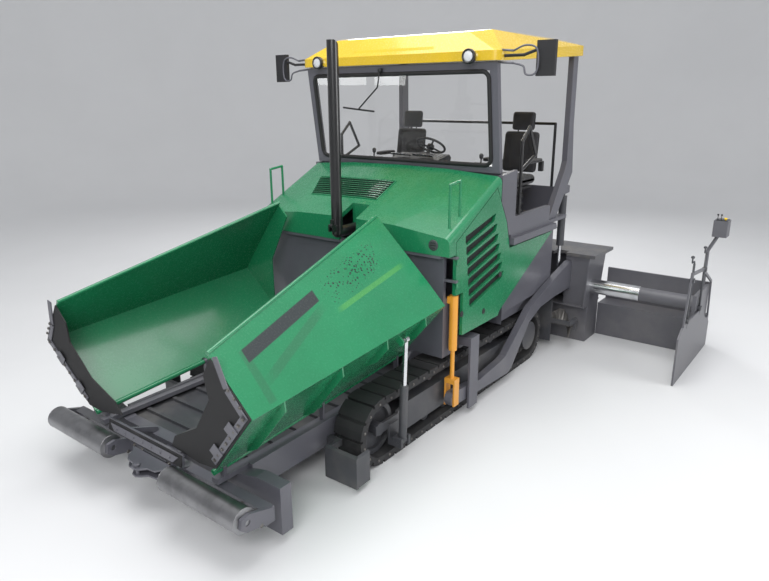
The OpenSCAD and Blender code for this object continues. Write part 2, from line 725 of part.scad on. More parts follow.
module operator_platform() {
  color(steel) {
    box([-2060, -body_y + 2, floor_z - 39], [-560, body_y - 2, floor_z]);
    box([-560 - eps, -body_y + 50, floor_z - 39], [screen_x - 40, body_y - 50, floor_z]);
    // Sill boxes and side steps
    both() {
      box([-1540, body_y - 60, floor_z - eps], [-640, body_y, 1930]);
      plate_y([[-1700, 1640], [-560, 1640], [-560, 1712], [-1660, 1712]], body_y - 60, body_y + 40);
      // Panel under the windscreen's corner
      plate_y([[-640, floor_z - eps], [-512, floor_z - eps], [-462, 1900], [hood_rear_x - 14, 2124],
        [hood_rear_x - 14, 2390], [-640, 2420]], body_y - 50 - eps, body_y);
    }
    // Wall behind the hood
    box([screen_x - 61, -body_y + 50, floor_z - eps], [screen_x - 40, body_y - 50, 2410]);
    // Low rear wall
    box([-2060, -lift_y - 20, floor_z - eps], [-2035, lift_y + 20, 2080]);
  }
}

module control_console() {
  color(black) {
    plate_y([[screen_x - 62, floor_z], [-760, floor_z], [-700, 2100], [-860, 2480], [-820, 2520],
      [-430, 2440], [screen_x - 62, 2330]], -330, 330);
    for (y = [-850, 650]) plate_y([[-560, 2340], [-860, 2380], [-850, 2450], [-560, 2430]], y, y + 200);
    for (y = [-775, 725]) plate_y([[-600, 2335], [screen_x - 61 - seat_gap, 2230],
      [screen_x - 61 - seat_gap, 2280], [-600, 2385]], y, y + 50);
  }
}

module seat(y) {
  translate([0, y, 0]) {
    box([-1560, -140, floor_z], [-1280, 140, 2130]);
    box([-1680, -230, 2130 - eps], [-1180, 230, 2290]);
    translate([-1610, 0, 2280]) rotate([0, -8, 0]) box([-100, -225, 0], [40, 225, 480]);
    translate([-1680, 0, 2750]) rotate([0, -5, 0]) box([-90, -150, 0], [20, 150, 240]);
    for (s = [-1, 1]) translate([0, s * 270, 0]) box([-1620, -40, 2290 - eps], [-1260, 40, 2460]);
  }
}

module operator_seats() {
  color(black) for (y = [-800, 800]) seat(y);
}

module platform_rails() {
  color(black) {
    both() rod([-2048, 1060, 2080], [-2048, 1060, 2830], 17);
    rod([-2048, -1070, 2830], [-2048, 1070, 2830], 17);
    both() rail([[-780, body_y - 30, 1930], [-780, body_y - 30, 2700], [-940, body_y - 30, 2840],
      [-1120, body_y - 30, 2540], [-780, body_y - 30, 2400]], 17);
  }
}

// ---------- canopy ----------

screen_foot = [screen_x, 0, hood_rear_z + 20];

module at_screen() {
  translate(screen_foot) rotate([0, screen_lean, 0]) children();
}

module windscreen_frame() {
  w = body_y - 45;
  color(steel) at_screen() difference() {
    box([-60, -w, 0], [0, w, screen_h]);
    box([-61, -w + 85, 70], [1, w - 85, screen_h - 80]);
  }
}

module windscreen_glass() {
  w = body_y - 45 - 85 - 1;
  color(glass) at_screen() box([-34, -w, 71], [-26, w, screen_h - 81]);
}

module roof_pillars() {
  color(steel) both() {
    plate_y([[-1585, floor_z], [-1800, floor_z], [-2220, 2250], [-2150, 2820], [-2140, roof_low_z(-2140)],
      [-2010, roof_low_z(-2010)], [-2020, 2400], [-1976, 2300]], body_y - 95, body_y - 30);
    // Lug of the screed's lifting cylinder
    plate_y([[-1950, 1960], [lift_x - 45, 1985], [lift_x - 45, 2070], [-2110, 2120]], lift_y + 30, body_y - 94);
    bar_y(lift_x, lift_top_z, lift_pin_r, lift_y - 28, lift_y + 31);
  }
}

roof_rear_z = 3600;
roof_front_z = 3480;
roof_front_x = screen_x + 100;
roof_rear_x = -2170;
roof_y = body_y - 97.5;

// Height of the roof's underside between its front and rear corners
function roof_low_z(x) = roof_front_z - seat_gap
  + (roof_rear_z - roof_front_z) * (roof_front_x - 100 - x) / (roof_front_x - roof_rear_x);

module canopy_roof() {
  color(yellow) {
    difference() {
      hull() {
        for (y = [-roof_y, roof_y]) {
          translate([roof_front_x, y, roof_front_z]) cylinder(r = 100, h = 90, $fn = 32);
          translate([roof_rear_x, y, roof_rear_z]) cylinder(r = 100, h = 110, $fn = 32);
        }
        // Raised brow over the windscreen, and the flat top behind it
        translate([roof_front_x - 100, -roof_y + 330, 3735]) cube([40, 2 * roof_y - 660, 25]);
        translate([roof_rear_x + 150, -roof_y + 200, 3760]) cube([1500, 2 * roof_y - 400, 30]);
      }
      // Sunken panel in the brow
      translate([roof_front_x + 30, 0, 3660]) rotate([0, -32, 0])
        box([0, -520, -70], [60, 520, 70]);
      // Hollow underside
      plate_y([[roof_front_x - 100, 3400], [-1000, 3430], [roof_rear_x + 250, 3460],
        [roof_rear_x + 250, 3650], [-1000, 3650], [roof_front_x - 100, 3540]], -1150, 1150);
    }
    // Stem for a beacon on its collar
    translate([beacon_x, beacon_y, 3700]) cylinder(r = 40, h = 55);
    translate([beacon_x, beacon_y, 3754]) cylinder(r = 12, h = 76);
  }
}

beacon_x = -1950;
beacon_y = -900;

module work_lamps() {
  color(chrome) both() {
    translate([roof_front_x + 100 + seat_gap, 977, 3520]) rotate([0, 90, 0]) cylinder(r = 62, h = 60);
    translate([roof_rear_x - 100 - seat_gap, 900, 3670]) rotate([0, -90, 0]) cylinder(r = 55, h = 40);
  }
}

module mirrors() {
  color(black) both() {
    rail([[roof_front_x, roof_y + 100 + seat_gap, 3520], [roof_front_x, body_y + 200, 3520],
      [roof_front_x, body_y + 330, 3560], [roof_front_x, body_y + 420, 3560]], 14);
    box([roof_front_x - 30, body_y + 330, 3330], [roof_front_x + 15, body_y + 510, 3640]);
  }
}

// ---------- tow cylinders ----------

module tow_cylinders() {
  color(orange) both() {
    translate([tow_x, tow_y, 770]) cylinder(r = 42, h = 560);
    translate([tow_x, tow_y, 420]) cylinder(r = 22, h = 351);
    box([tow_x - 45, arm_y - 19, 420 - eps], [tow_x + 45, arm_y + arm_t + 20, 470]);
    for (y = [arm_y - 19, arm_y + arm_t + 2]) box([tow_x - 45, y, 180], [tow_x + 45, y + 17, 421]);
    bar_y(tow_x, tow_z, 29.95, arm_y - 18, arm_y + arm_t + 19);
    box([tow_x - 40, track_out_y + 10, 1250], [tow_x + 40, tow_y, 1320]);
  }
}

// ---------- augers ----------

auger_in = 110;
auger_out = screed_half - 60;
flight_pitch = 330;

// One turn-by-turn flight: a thick helical blade round the shaft
module flight(len) {
  steps = 12;
  turns = len / flight_pitch;
  n = ceil(turns * steps);
  t = 7;
  ring = [for (i = [0 : n]) let (a = 360 * turns * i / n, y = len * i / n)
    each [for (p = [[26, -t], [auger_r, -t], [auger_r, t], [26, t]])
      [p[0] * cos(a), y + p[1], p[0] * sin(a)]]];
  faces = concat([[0, 1, 2], [0, 2, 3], [4 * n + 2, 4 * n + 1, 4 * n], [4 * n + 3, 4 * n + 2, 4 * n]],
    [for (i = [0 : n - 1]) for (k = [0 : 3]) let (a = 4 * i + k, b = 4 * i + (k + 1) % 4)
      each [[a, a + 4, b + 4], [a, b + 4, b]]]);
  polyhedron(ring, faces, convexity = 10);
}

auger_pin_r = 25;
auger_box = 105;      // half width of the gearbox between the augers

module auger(side) {
  color(steel) on(side) {
    bar_y(auger_x, auger_z, 34, auger_in, auger_out);
    bar_y(auger_x, auger_z, auger_pin_r, auger_in - 45, auger_out + 32);
    translate([auger_x, auger_in + 30, auger_z]) flight(auger_out - auger_in - 60);
  }
}

module auger_left() { auger(1); }
module auger_right() { auger(-1); }

module auger_carrier() {
  plate_out = track_out_y + 55;
  x0 = chassis_rear_x - 20 - seat_gap;
  x1 = chassis_rear_x - seat_gap;
  color(dark) {
    // Rear plate with the conveyor's outlet
    plate_x([[-plate_out, 105], [plate_out, 105], [plate_out, 655], [frame_y - 45, 655], [frame_y - 45, 262],
      [-frame_y + 45, 262], [-frame_y + 45, 655], [-plate_out, 655]], x0, x1);
    difference() {
      union() {
        box([auger_x - 70, -auger_box, auger_z - 75], [auger_x + 70, auger_box, auger_z + 110]);
        both() box([auger_x - 50, auger_out + 8, auger_z - 50], [auger_x + 50, auger_out + 38, auger_z + 55]);
      }
      both() bar_y(auger_x, auger_z, auger_pin_r + fit, auger_in - 50, auger_out + 40);
    }
    // Arm of the gearbox, down to the plate's sill
    plate_y([[auger_x, auger_z - 70], [x0 + eps, 110], [x0 + eps, 262], [auger_x, auger_z + 40]], -50, 50);
    // Arms of the outer bearings
    both() {
      box([auger_x + 20, auger_out + 8, auger_z + 50], [x0 + 1, auger_out + 38, auger_z + 120]);
      box([x0, plate_out - eps, auger_z + 60], [x1, auger_out + 38, auger_z + 120]);
    }
  }
}

// ---------- screed ----------

flange_x = screed_x + 60;
tube_x = screed_x - 120;
tube_z = 750;
lift_x = flange_x + 95;
lift_y = arm_y - 65;
lift_low_z = 790;
lift_top_z = 2030;

module tow_arm() {
  r = flange_x;
  difference() {
    union() {
      plate_y([[tow_x, tow_z - 75], [17, 150], [-672, 119], [-760, 150], [-1180, 590], [-1480, 700],
        [-1900, 731], [r + 40, 736], [r, 700], [r, 1090], [r + 40, 1095], [-2000, 1010], [-1600, 900],
        [-1183, 765], [-900, 560], [-600, 350], [-491, 324], [-11, 275], [tow_x, tow_z + 75]],
        arm_y, arm_y + arm_t);
      bar_y(tow_x, tow_z, 75, arm_y, arm_y + arm_t);
    }
    bar_y(tow_x, tow_z, 30, arm_y - 1, arm_y + arm_t + 1);
  }
  // Lug and pin of the lifting cylinder
  bar_y(lift_x, lift_low_z, 45, lift_y + 31, arm_y + eps);
}

module tow_arms() { color(steel) both() tow_arm(); }

module screed_body() {
  w = screed_half;
  color(dark) {
    // Lower box with its ledge
    box([screed_x - 400, -w, 0], [screed_x, w, 495]);
    box([screed_x - 430, -w, 495 - eps], [screed_x + 125, w, 512]);
    both() {
      // Flange that takes the tow arm
      box([flange_x - 20, arm_y, 512 - eps], [flange_x, w - 19, 1160]);
      // Side plate
      difference() {
        plate_y([[screed_x + 125, 512 - eps], [flange_x, 1160], [screed_x - 560, 1160], [screed_x - 400, 512 - eps]],
          w - 20, w);
        bar_y(tube_x, tube_z, tube_r + fit, w - 21, w + 1);
      }
      // Guide of the telescopic tube
      difference() {
        bar_y(tube_x, tube_z, tube_r + 20, 590, w - 20 + eps);
        bar_y(tube_x, tube_z, tube_r + fit, 589, w);
      }
      box([tube_x - 60, 700, 512 - eps], [tube_x + 60, 730, tube_z - tube_r]);
      box([tube_x - 60, 1300, 512 - eps], [tube_x + 60, 1330, tube_z - tube_r]);
    }
    // Upper body behind the tubes
    box([screed_x - 300, -w + 20 - eps, 512 - eps], [screed_x - 260, w - 20 + eps, 1160]);
  }
}

module screed_walkway() {
  color(steel * 0.9) {
    difference() {
      box([screed_x - 590, -screed_half - 80, 1160], [screed_x + 90, screed_half + 80, 1200]);
      both() box([screed_x - 10, lift_y - 90, 1150], [screed_x + 91, lift_y + 75, 1210]);
    }
  }
}

engage = 240;         // length of tube that stays in its guide

module tube_stage(side) {
  color(chrome) on(side) difference() {
    bar_y(tube_x, tube_z, tube_r, screed_half - engage, screed_half + ext_out / 2 - 25);
    bar_y(tube_x, tube_z, tube_r - tube_wall, screed_half - engage - 1, screed_half + ext_out / 2);
  }
}

module tube_stage_left() { tube_stage(1); }
module tube_stage_right() { tube_stage(-1); }

gate_gap = 6;         // gap between an extension and its end gate

module screed_extension(side) {
  y0 = screed_half + 1;
  y1 = screed_half + ext_out;
  back = screed_x - 406;
  post_x = back - 220;
  color(dark) on(side) {
    box([back - 400, y0, 0], [back, y1, 430]);
    box([back - 330, y0, 430 - eps], [back - 300, y1, 880]);
    box([back - 400, y0, 430 - eps], [back, y1, 445]);
    // End bracket of the telescopic tube
    box([back - 330, y1 - 40, 445 - eps], [tube_x + 90, y1, tube_z + 110]);
    difference() {
      bar_y(tube_x, tube_z, tube_r - tube_wall - fit, screed_half + ext_out / 2 - 25 - engage, y1 - 39);
      bar_y(tube_x, tube_z, tube_r - 2.2 * tube_wall, screed_half + ext_out / 2 - 26 - engage, y1 - 41);
    }
    // Control console on its post
    rail([[post_x, y1 - 60, 440], [post_x, y1 - 60, 1300], [post_x, y1 + 40, 1520]], 22);
    box([back - 290, y1 - 20, 1500], [back - 110, y1 + 140, 1700]);
    // Guide pads of the end gate
    for (x = [back - 360, back - 80]) box([x, y1 - eps, 20], [x + 60, y1 + gate_gap - seat_gap, 420]);
  }
}

module screed_extension_left() { screed_extension(1); }
module screed_extension_right() { screed_extension(-1); }

module end_gate(side) {
  y0 = screed_half + ext_out + gate_gap;
  front = screed_x + 760;
  rear = screed_x - 847;
  color(dark) on(side) {
    plate_y([[front, 0], [rear, 0], [rear, 330], [screed_x - 300, 600], [front - 150, 650], [front, 560]], y0, y0 + 20);
    difference() {
      plate_y([[front - 175, 640], [front - 280, 1265], [screed_x - 100, 1200], [rear + 150, 920],
        [rear + 40, 330], [rear + 240, 370], [screed_x - 300, 600], [front - 150, 630]], y0, y0 + 20);
      plate_y([[front - 215, 670], [front - 305, 1225], [screed_x - 90, 1165], [rear + 170, 895],
        [rear + 90, 420], [rear + 230, 430], [screed_x - 290, 650]], y0 - 1, y0 + 21);
    }
  }
}

module end_gate_left() { end_gate(1); }
module end_gate_right() { end_gate(-1); }

// ---------- screed lift cylinders ----------

lift_rod_r = 25;
lift_rod_len = 718;   // keeps its tip inside the barrel's bore at full stroke
lift_pin_r = 18;

module lift_barrel(side) {
  y = side * lift_y;
  color(dark) {
    difference() {
      translate([lift_x, y, 1300]) cylinder(r = 48, h = 640);
      translate([lift_x, y, 1299]) cylinder(r = lift_rod_r + fit, h = 621);
    }
    translate([lift_x, y, 1939]) cylinder(r = 24, h = lift_top_z - 1939 - 22);
    eye_y(lift_x, lift_top_z, 38, lift_pin_r + fit, y - 25, y + 25);
  }
}

module lift_rod(side) {
  y = side * lift_y;
  color(chrome) {
    translate([lift_x, y, lift_low_z + 22]) cylinder(r = lift_rod_r, h = lift_rod_len);
    eye_y(lift_x, lift_low_z, 42, 20, y - 25, y + 25);
  }
}

module lift_barrel_left() { lift_barrel(1); }
module lift_barrel_right() { lift_barrel(-1); }
module lift_rod_left() { lift_rod(1); }
module lift_rod_right() { lift_rod(-1); }

chassis_frame();
track_frames();
track_left();
track_right();
track_deflectors();
slat_conveyor();
hopper_bulkhead();
engine_hood();
engine_block();
rear_housing();
rear_panels();
operator_platform();
control_console();
operator_seats();
platform_rails();
windscreen_frame();
windscreen_glass();
roof_pillars();
canopy_roof();
work_lamps();
mirrors();
tow_cylinders();
auger_carrier();
exhaust_base();
hopper_wing_left();
hopper_wing_right();
wing_flap_left();
wing_flap_right();
wing_barrel_left();
wing_barrel_right();
wing_rod_left();
wing_rod_right();
hopper_apron();
push_beam();
push_roller_left();
push_roller_right();
engine_door_left();
engine_door_right();
exhaust_stack();
auger_left();
auger_right();
tow_arms();
screed_body();
screed_walkway();
lift_barrel_left();
lift_barrel_right();
lift_rod_left();
lift_rod_right();
tube_stage_left();
tube_stage_right();
screed_extension_left();
screed_extension_right();
end_gate_left();
end_gate_right();
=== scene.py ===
# %% [markdown]
# # A tracked asphalt paver
# This lesson dresses a finished CAD model of a road paver: tracks, a folding hopper, a drive
# station under a roof, and a screed that slides out behind. The CAD pieces keep their shape.
# Each cell adds one finish or one family of pieces, and prints what it made.

# %% Load the model
import math
import bmesh
import bpy
from mathutils import Matrix, Vector


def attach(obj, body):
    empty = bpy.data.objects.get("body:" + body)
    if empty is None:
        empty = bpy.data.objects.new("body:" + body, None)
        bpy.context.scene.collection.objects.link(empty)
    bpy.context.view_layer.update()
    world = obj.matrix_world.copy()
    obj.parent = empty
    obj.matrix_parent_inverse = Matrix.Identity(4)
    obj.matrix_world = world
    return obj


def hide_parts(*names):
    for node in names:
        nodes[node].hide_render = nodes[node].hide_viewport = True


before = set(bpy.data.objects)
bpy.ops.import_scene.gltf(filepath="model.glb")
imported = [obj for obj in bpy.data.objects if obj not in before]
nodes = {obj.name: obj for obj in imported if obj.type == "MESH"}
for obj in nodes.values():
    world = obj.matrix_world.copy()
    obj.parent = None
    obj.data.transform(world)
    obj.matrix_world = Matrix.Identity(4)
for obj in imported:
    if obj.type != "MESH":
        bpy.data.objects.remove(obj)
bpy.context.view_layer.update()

# %% [markdown]
# ## The viewpoint
# The machine is seen from its front left corner, a little above the hopper's rim. A camera looks
# along its own -Z, so its matrix is built from three directions: right, up and backwards. The lens
# follows from the field of view on a 36 mm sensor.

# %% Camera
eye = Vector((5.609, 4.300, 3.164))
heading, dip, roll = math.radians(217.37), math.radians(16.73), math.radians(-0.30)
forward = Vector((math.cos(heading) * math.cos(dip), math.sin(heading) * math.cos(dip),
                  -math.sin(dip)))
flat_right = forward.cross(Vector((0, 0, 1))).normalized()
flat_up = flat_right.cross(forward)
right = flat_right * math.cos(roll) + flat_up * math.sin(roll)
up = flat_up * math.cos(roll) - flat_right * math.sin(roll)
lens = bpy.data.cameras.new("front_left_view")
lens.sensor_width = 36
lens.lens = 30.33
lens.clip_end = 200
camera = bpy.data.objects.new("front_left_view", lens)
bpy.context.scene.collection.objects.link(camera)
turn = Matrix((right, up, -forward)).transposed().to_4x4()
camera.matrix_world = Matrix.Translation(eye) @ turn
bpy.context.scene.camera = camera
print("camera at", tuple(round(v, 2) for v in eye))

# %% [markdown]
# ## Floor and light
# Product pictures of machines use a pale sweep and large soft lamps, so that paint shows long,
# quiet highlights. A big lamp overhead gives the shape, one at the front left fills the hopper, one
# at the left lights the tracks, and one behind draws the roof's edge. The world gives a little even
# light. The floor is flat out to a wide circle and then sweeps up into a wall.

# %% Floor
flat_radius, sweep_radius, wall_top, spokes = 14, 6, 18, 96
bends = [math.radians(10 * k) for k in range(10)]
profile = [(flat_radius + sweep_radius * math.sin(a), sweep_radius - sweep_radius * math.cos(a))
           for a in bends] + [(flat_radius + sweep_radius, wall_top)]
rings = len(profile)
points, faces = [(0, 0, 0)], []
for spoke in range(spokes):
    angle = 2 * math.pi * spoke / spokes
    points += [(r * math.cos(angle), r * math.sin(angle), z) for r, z in profile]
    here, there = 1 + spoke * rings, 1 + ((spoke + 1) % spokes) * rings
    faces.append((0, here, there))
    faces += [(here + k, here + k + 1, there + k + 1, there + k) for k in range(rings - 1)]
floor_mesh = bpy.data.meshes.new("studio_floor")
floor_mesh.from_pydata(points, [], faces)
for face in floor_mesh.polygons:
    face.use_smooth = True
floor = bpy.data.objects.new("studio_floor", floor_mesh)
floor.location.z = -0.001  # a hair below the tracks
bpy.context.scene.collection.objects.link(floor)

world = bpy.data.worlds.new("even_light")
world.use_nodes = True
sky = world.node_tree.nodes["Background"].inputs
sky["Color"].default_value, sky["Strength"].default_value = (0.93, 0.94, 0.96, 1), 0.62
bpy.context.scene.world = world
bpy.context.scene.view_settings.view_transform = "Standard"


def soft_lamp(name, place, target, width, power):
    """A square area lamp that points at a target."""
    light = bpy.data.lights.new(name, "AREA")
    light.shape = "SQUARE"
    light.size = width
    light.energy = power
    lamp = bpy.data.objects.new(name, light)
    lamp.location = place
    lamp.rotation_euler = (Vector(target) - Vector(place)).to_track_quat("-Z", "Y").to_euler()
    bpy.context.scene.collection.objects.link(lamp)


soft_lamp("overhead", (1.0, 0.5, 9.0), (0, 0, 0.5), 7.5, 600)
soft_lamp("front_left", (9.0, 5.0, 6.5), (0.5, 0, 1.2), 4.5, 500)
soft_lamp("left_side", (-2.5, 9.5, 4.0), (-0.5, 0, 1.4), 4.0, 260)
soft_lamp("rear_edge", (-8.0, -5.0, 5.5), (-1, 0, 2.0), 3.5, 300)
print("lamps:", len(bpy.data.lights))

# %% [markdown]
# ## A small language for shader maths
# Finishes are easier to read as sums than as boxes and lines. `Wire` wraps one socket and knows
# the operators that are used here, so `1 - mask * 0.5` adds two Math nodes. Colours never pass
# through Math nodes, because those turn them grey.

# %% Wire
class Wire:
    """One output socket that can be used in a sum."""

    def __init__(self, finish, socket):
        self.finish = finish
        self.socket = socket

    def math(self, operation, first, second):
        return self.finish.node("ShaderNodeMath", {"operation": operation}, {0: first, 1: second})

    def __add__(self, other):
        return self.math("ADD", self, other)

    def __radd__(self, other):
        return self.math("ADD", other, self)

    def __sub__(self, other):
        return self.math("SUBTRACT", self, other)

    def __rsub__(self, other):
        return self.math("SUBTRACT", other, self)

    def __mul__(self, other):
        return self.math("MULTIPLY", self, other)

    def __rmul__(self, other):
        return self.math("MULTIPLY", other, self)

    def __gt__(self, other):
        return self.math("GREATER_THAN", self, other)

    def __lt__(self, other):
        return self.math("LESS_THAN", self, other)


print("operators: + - * > <")

# %% [markdown]
# ## One maker of finishes
# `Finish` holds a material while it is made. Its method `node` is the only way nodes are added: it
# takes the node's type, its settings and what goes into its sockets. The short methods after it
# name the patterns that finishes need: blotches, waves, a mask between two levels, a blend, a bump.

# %% Finish
class Finish:
    """A material while it is being made."""

    def __init__(self, name, **plain):
        self.material = bpy.data.materials.new(name)
        self.material.use_nodes = True
        self.tree = self.material.node_tree
        self.shader = self.tree.nodes["Principled BSDF"]
        self.coords = None
        for socket, value in plain.items():
            self.shader.inputs[socket.replace("_", " ")].default_value = value

    def node(self, kind, settings=None, inputs=None, out=0):
        made = self.tree.nodes.new(kind)
        for name, value in (settings or {}).items():
            if name == "stops":
                ramp = made.color_ramp
                while len(ramp.elements) < len(value):
                    ramp.elements.new(0.5)
                for stop, (place, colour) in zip(ramp.elements, value):
                    stop.position = place
                    stop.color = colour
            else:
                setattr(made, name, value)
        for name, value in (inputs or {}).items():
            self.feed(made.inputs[name], value)
        return Wire(self, made.outputs[out])

    def feed(self, socket, value):
        if isinstance(value, Wire):
            self.tree.links.new(value.socket, socket)
        else:
            socket.default_value = value

    def place(self):
        """Where a point lies on the machine, in metres."""
        if self.coords is None:
            self.coords = self.node("ShaderNodeTexCoord", out="Object")
        return self.coords

    def axis(self, letter):
        return self.node("ShaderNodeSeparateXYZ", {}, {0: self.place()}, out="XYZ".index(letter))

    def facing(self, letter):
        """How far the surface faces along an axis of the machine."""
        normal = self.node("ShaderNodeNewGeometry", out="Normal")
        return self.node("ShaderNodeSeparateXYZ", {}, {0: normal}, out="XYZ".index(letter))

    def blotches(self, scale, detail=3.0, rough=0.6):
        return self.node("ShaderNodeTexNoise", {}, {"Vector": self.place(), "Scale": scale,
                                                    "Detail": detail, "Roughness": rough})

    def wave(self, value):
        return self.node("ShaderNodeMath", {"operation": "SINE"}, {0: value})

    def between(self, value, low, high):
        """0 at low, 1 at high, smooth in between."""
        return self.node("ShaderNodeMapRange", {"interpolation_type": "SMOOTHSTEP"},
                         {"Value": value, "From Min": low, "From Max": high})

    def blend(self, mask, first, second):
        """A colour that goes from the first to the second."""
        return self.node("ShaderNodeMix", {"data_type": "RGBA"},
                         {0: mask, 6: first, 7: second}, out=2)

    def bump(self, height, depth, strength=1.0, under=None):
        inputs = {"Height": height, "Distance": depth, "Strength": strength}
        if under is not None:
            inputs["Normal"] = under
        return self.node("ShaderNodeBump", {}, inputs)

    def soft_edge(self, radius):
        return self.node("ShaderNodeBevel", {"samples": 4}, {"Radius": radius})

    def worn_edge(self, radius):
        """1 along the sharp edges of a piece."""
        rounded = self.soft_edge(radius)
        true = self.node("ShaderNodeNewGeometry", out="Normal")
        same = self.node("ShaderNodeVectorMath", {"operation": "DOT_PRODUCT"},
                         {0: rounded, 1: true}, out=1)
        return self.between(same, 0.995, 0.90)

    def set(self, **varying):
        for socket, value in varying.items():
            self.feed(self.shader.inputs[socket.replace("_", " ")], value)
        return self.material


def shade(colour, factor):
    """A colour made lighter or darker, as a list of four."""
    return [min(1.0, channel * factor) for channel in colour[:3]] + [1.0]


print("Finish is ready")

# %% [markdown]
# ## Machine paint
# Every painted piece here carries sprayed enamel: a colour, a clear gloss and a faint orange peel.
# In use it also gathers dust in low places and on level faces, and loses gloss along its edges. One
# function makes this paint in any colour, so that all pieces age in the same way.

# %% Paint
dust_tone, edge_radius = [0.30, 0.28, 0.25, 1], 0.004


def enamel(name, colour, gloss=0.30, coat=0.35, dust=0.25, wear=0.35, pattern=None):
    f = Finish(name, Roughness=gloss, Coat_Weight=coat, Coat_Roughness=0.12)
    cloud = f.blotches(1.7, 4.0)
    fine = f.blotches(60.0, 4.0, 0.7)
    low = f.between(f.axis("Z"), 1.1, 0.05)
    level = f.between(f.facing("Z"), 0.75, 1.0)
    grime = f.between(cloud, 0.42, 0.72) * (low * 0.75 + level * 0.30) * dust
    base = f.blend(f.between(cloud, 0.30, 0.70), shade(colour, 0.93), shade(colour, 1.06))
    if pattern:
        base = pattern(f, base)
    edge = f.worn_edge(edge_radius) * f.between(fine, 0.40, 0.62) * wear
    base = f.blend(edge, base, shade([min(1, c * 0.6 + 0.16) for c in colour[:3]], 1.0))
    base = f.blend(grime, base, dust_tone)
    rough = gloss + grime * 0.45 + fine * 0.06 + edge * 0.25
    peel = f.bump(f.blotches(340.0, 1.0), 0.0006, 0.22, f.soft_edge(edge_radius))
    return f.set(Base_Color=base, Roughness=rough, Normal=peel)


machine_green = [0.014, 0.205, 0.085, 1]
frame_grey = [0.105, 0.105, 0.125, 1]
body_grey = enamel("body_grey_enamel", frame_grey, gloss=0.36, coat=0.22)
dark_grey = enamel("dark_grey_enamel", [0.055, 0.057, 0.065, 1], gloss=0.42, coat=0.12, dust=0.35)
gloss_black = enamel("gloss_black_enamel", [0.012, 0.012, 0.013, 1], gloss=0.26, coat=0.4,
                     dust=0.1)
screed_grey = enamel("screed_grey_enamel", [0.115, 0.115, 0.13, 1], gloss=0.42, coat=0.15)
hood_green = enamel("hood_green_enamel", machine_green, gloss=0.24, coat=0.5, dust=0.12)
roof_yellow = enamel("roof_yellow_enamel", [0.70, 0.47, 0.020, 1], gloss=0.24, coat=0.5,
                     dust=0.08, wear=0.1)
marker_orange = enamel("marker_orange_enamel", [0.78, 0.34, 0.03, 1], gloss=0.3, coat=0.3)
print("paints:", len(bpy.data.materials))

# %% [markdown]
# ## Metal, rubber, glass and plastic
# Cylinder rods are hard chrome with fine rings from grinding. Rollers and conveyor slats are bare
# steel that the load keeps scoured. Rubber is almost black, dull and slightly grained, and it holds
# pale dust. Glass only needs to be clear and smooth, with a faint green tint.

# %% Other finishes
def scoured_steel(name, tint, rough, streak_axis="Y"):
    f = Finish(name, Metallic=1.0, Roughness=rough)
    stretch = {"X": (3, 90, 90), "Y": (90, 3, 90), "Z": (90, 90, 3)}[streak_axis]
    drawn = f.node("ShaderNodeMapping", {}, {"Vector": f.place(), "Scale": stretch})
    lines = f.node("ShaderNodeTexNoise", {}, {"Vector": drawn, "Scale": 4.0, "Detail": 4.0})
    cloud = f.blotches(5.0)
    base = f.blend(f.between(cloud, 0.4, 0.7), tint, shade(tint, 0.72))
    bumps = f.bump(lines, 0.0008, 0.25, f.soft_edge(0.002))
    return f.set(Base_Color=base, Roughness=rough + lines * 0.14, Normal=bumps)


def dull_rubber(name, colour, grain=180.0):
    f = Finish(name, Roughness=0.7)
    cloud = f.blotches(3.0, 4.0)
    low = f.between(f.axis("Z"), 0.9, 0.0)
    dusty = f.between(cloud, 0.45, 0.7) * (0.03 + low * 0.16)
    base = f.blend(dusty, colour, [0.16, 0.155, 0.145, 1])
    return f.set(Base_Color=base, Roughness=0.62 + cloud * 0.2,
                 Normal=f.bump(f.blotches(grain, 2.0), 0.0012, 0.35, f.soft_edge(0.004)))


def moulded_plastic(name, colour, rough=0.5):
    f = Finish(name, Roughness=rough)
    cells = f.node("ShaderNodeTexVoronoi", {}, {"Vector": f.place(), "Scale": 420.0})
    cloud = f.blotches(9.0)
    base = f.blend(f.between(cloud, 0.35, 0.7), colour, shade(colour, 1.25))
    return f.set(Base_Color=base, Roughness=rough + cloud * 0.12,
                 Normal=f.bump(cells, 0.0006, 0.3, f.soft_edge(0.003)))


def clear_glass(name, tint=(0.93, 0.97, 0.95, 1)):
    f = Finish(name, Base_Color=tint, Roughness=0.02, IOR=1.45, Transmission_Weight=1.0)
    film = f.between(f.blotches(2.2, 5.0), 0.45, 0.85)
    return f.set(Roughness=0.01 + film * 0.03, Alpha=0.035 + film * 0.03)


chrome_rod = scoured_steel("ground_chrome", [0.74, 0.75, 0.77, 1], 0.12)
roller_steel = scoured_steel("roller_steel", [0.30, 0.30, 0.31, 1], 0.32, "X")
worn_steel = scoured_steel("worn_steel", [0.22, 0.21, 0.20, 1], 0.46)
track_rubber = dull_rubber("track_pad_rubber", [0.022, 0.022, 0.024, 1])
flap_rubber = dull_rubber("flap_rubber", [0.014, 0.014, 0.015, 1], 90.0)
black_plastic = moulded_plastic("black_plastic", [0.016, 0.016, 0.018, 1])
screen_glass = clear_glass("screen_glass")
f = Finish("pale_floor", Roughness=0.4)
tone = f.blotches(0.4, 3.0)
floor_colour = f.blend(f.between(tone, 0.3, 0.7), [0.735, 0.74, 0.75, 1],
                       [0.755, 0.76, 0.77, 1])
floor_mesh.materials.append(f.set(Base_Color=floor_colour, Roughness=0.36 + tone * 0.06))
print("finishes:", len(bpy.data.materials))
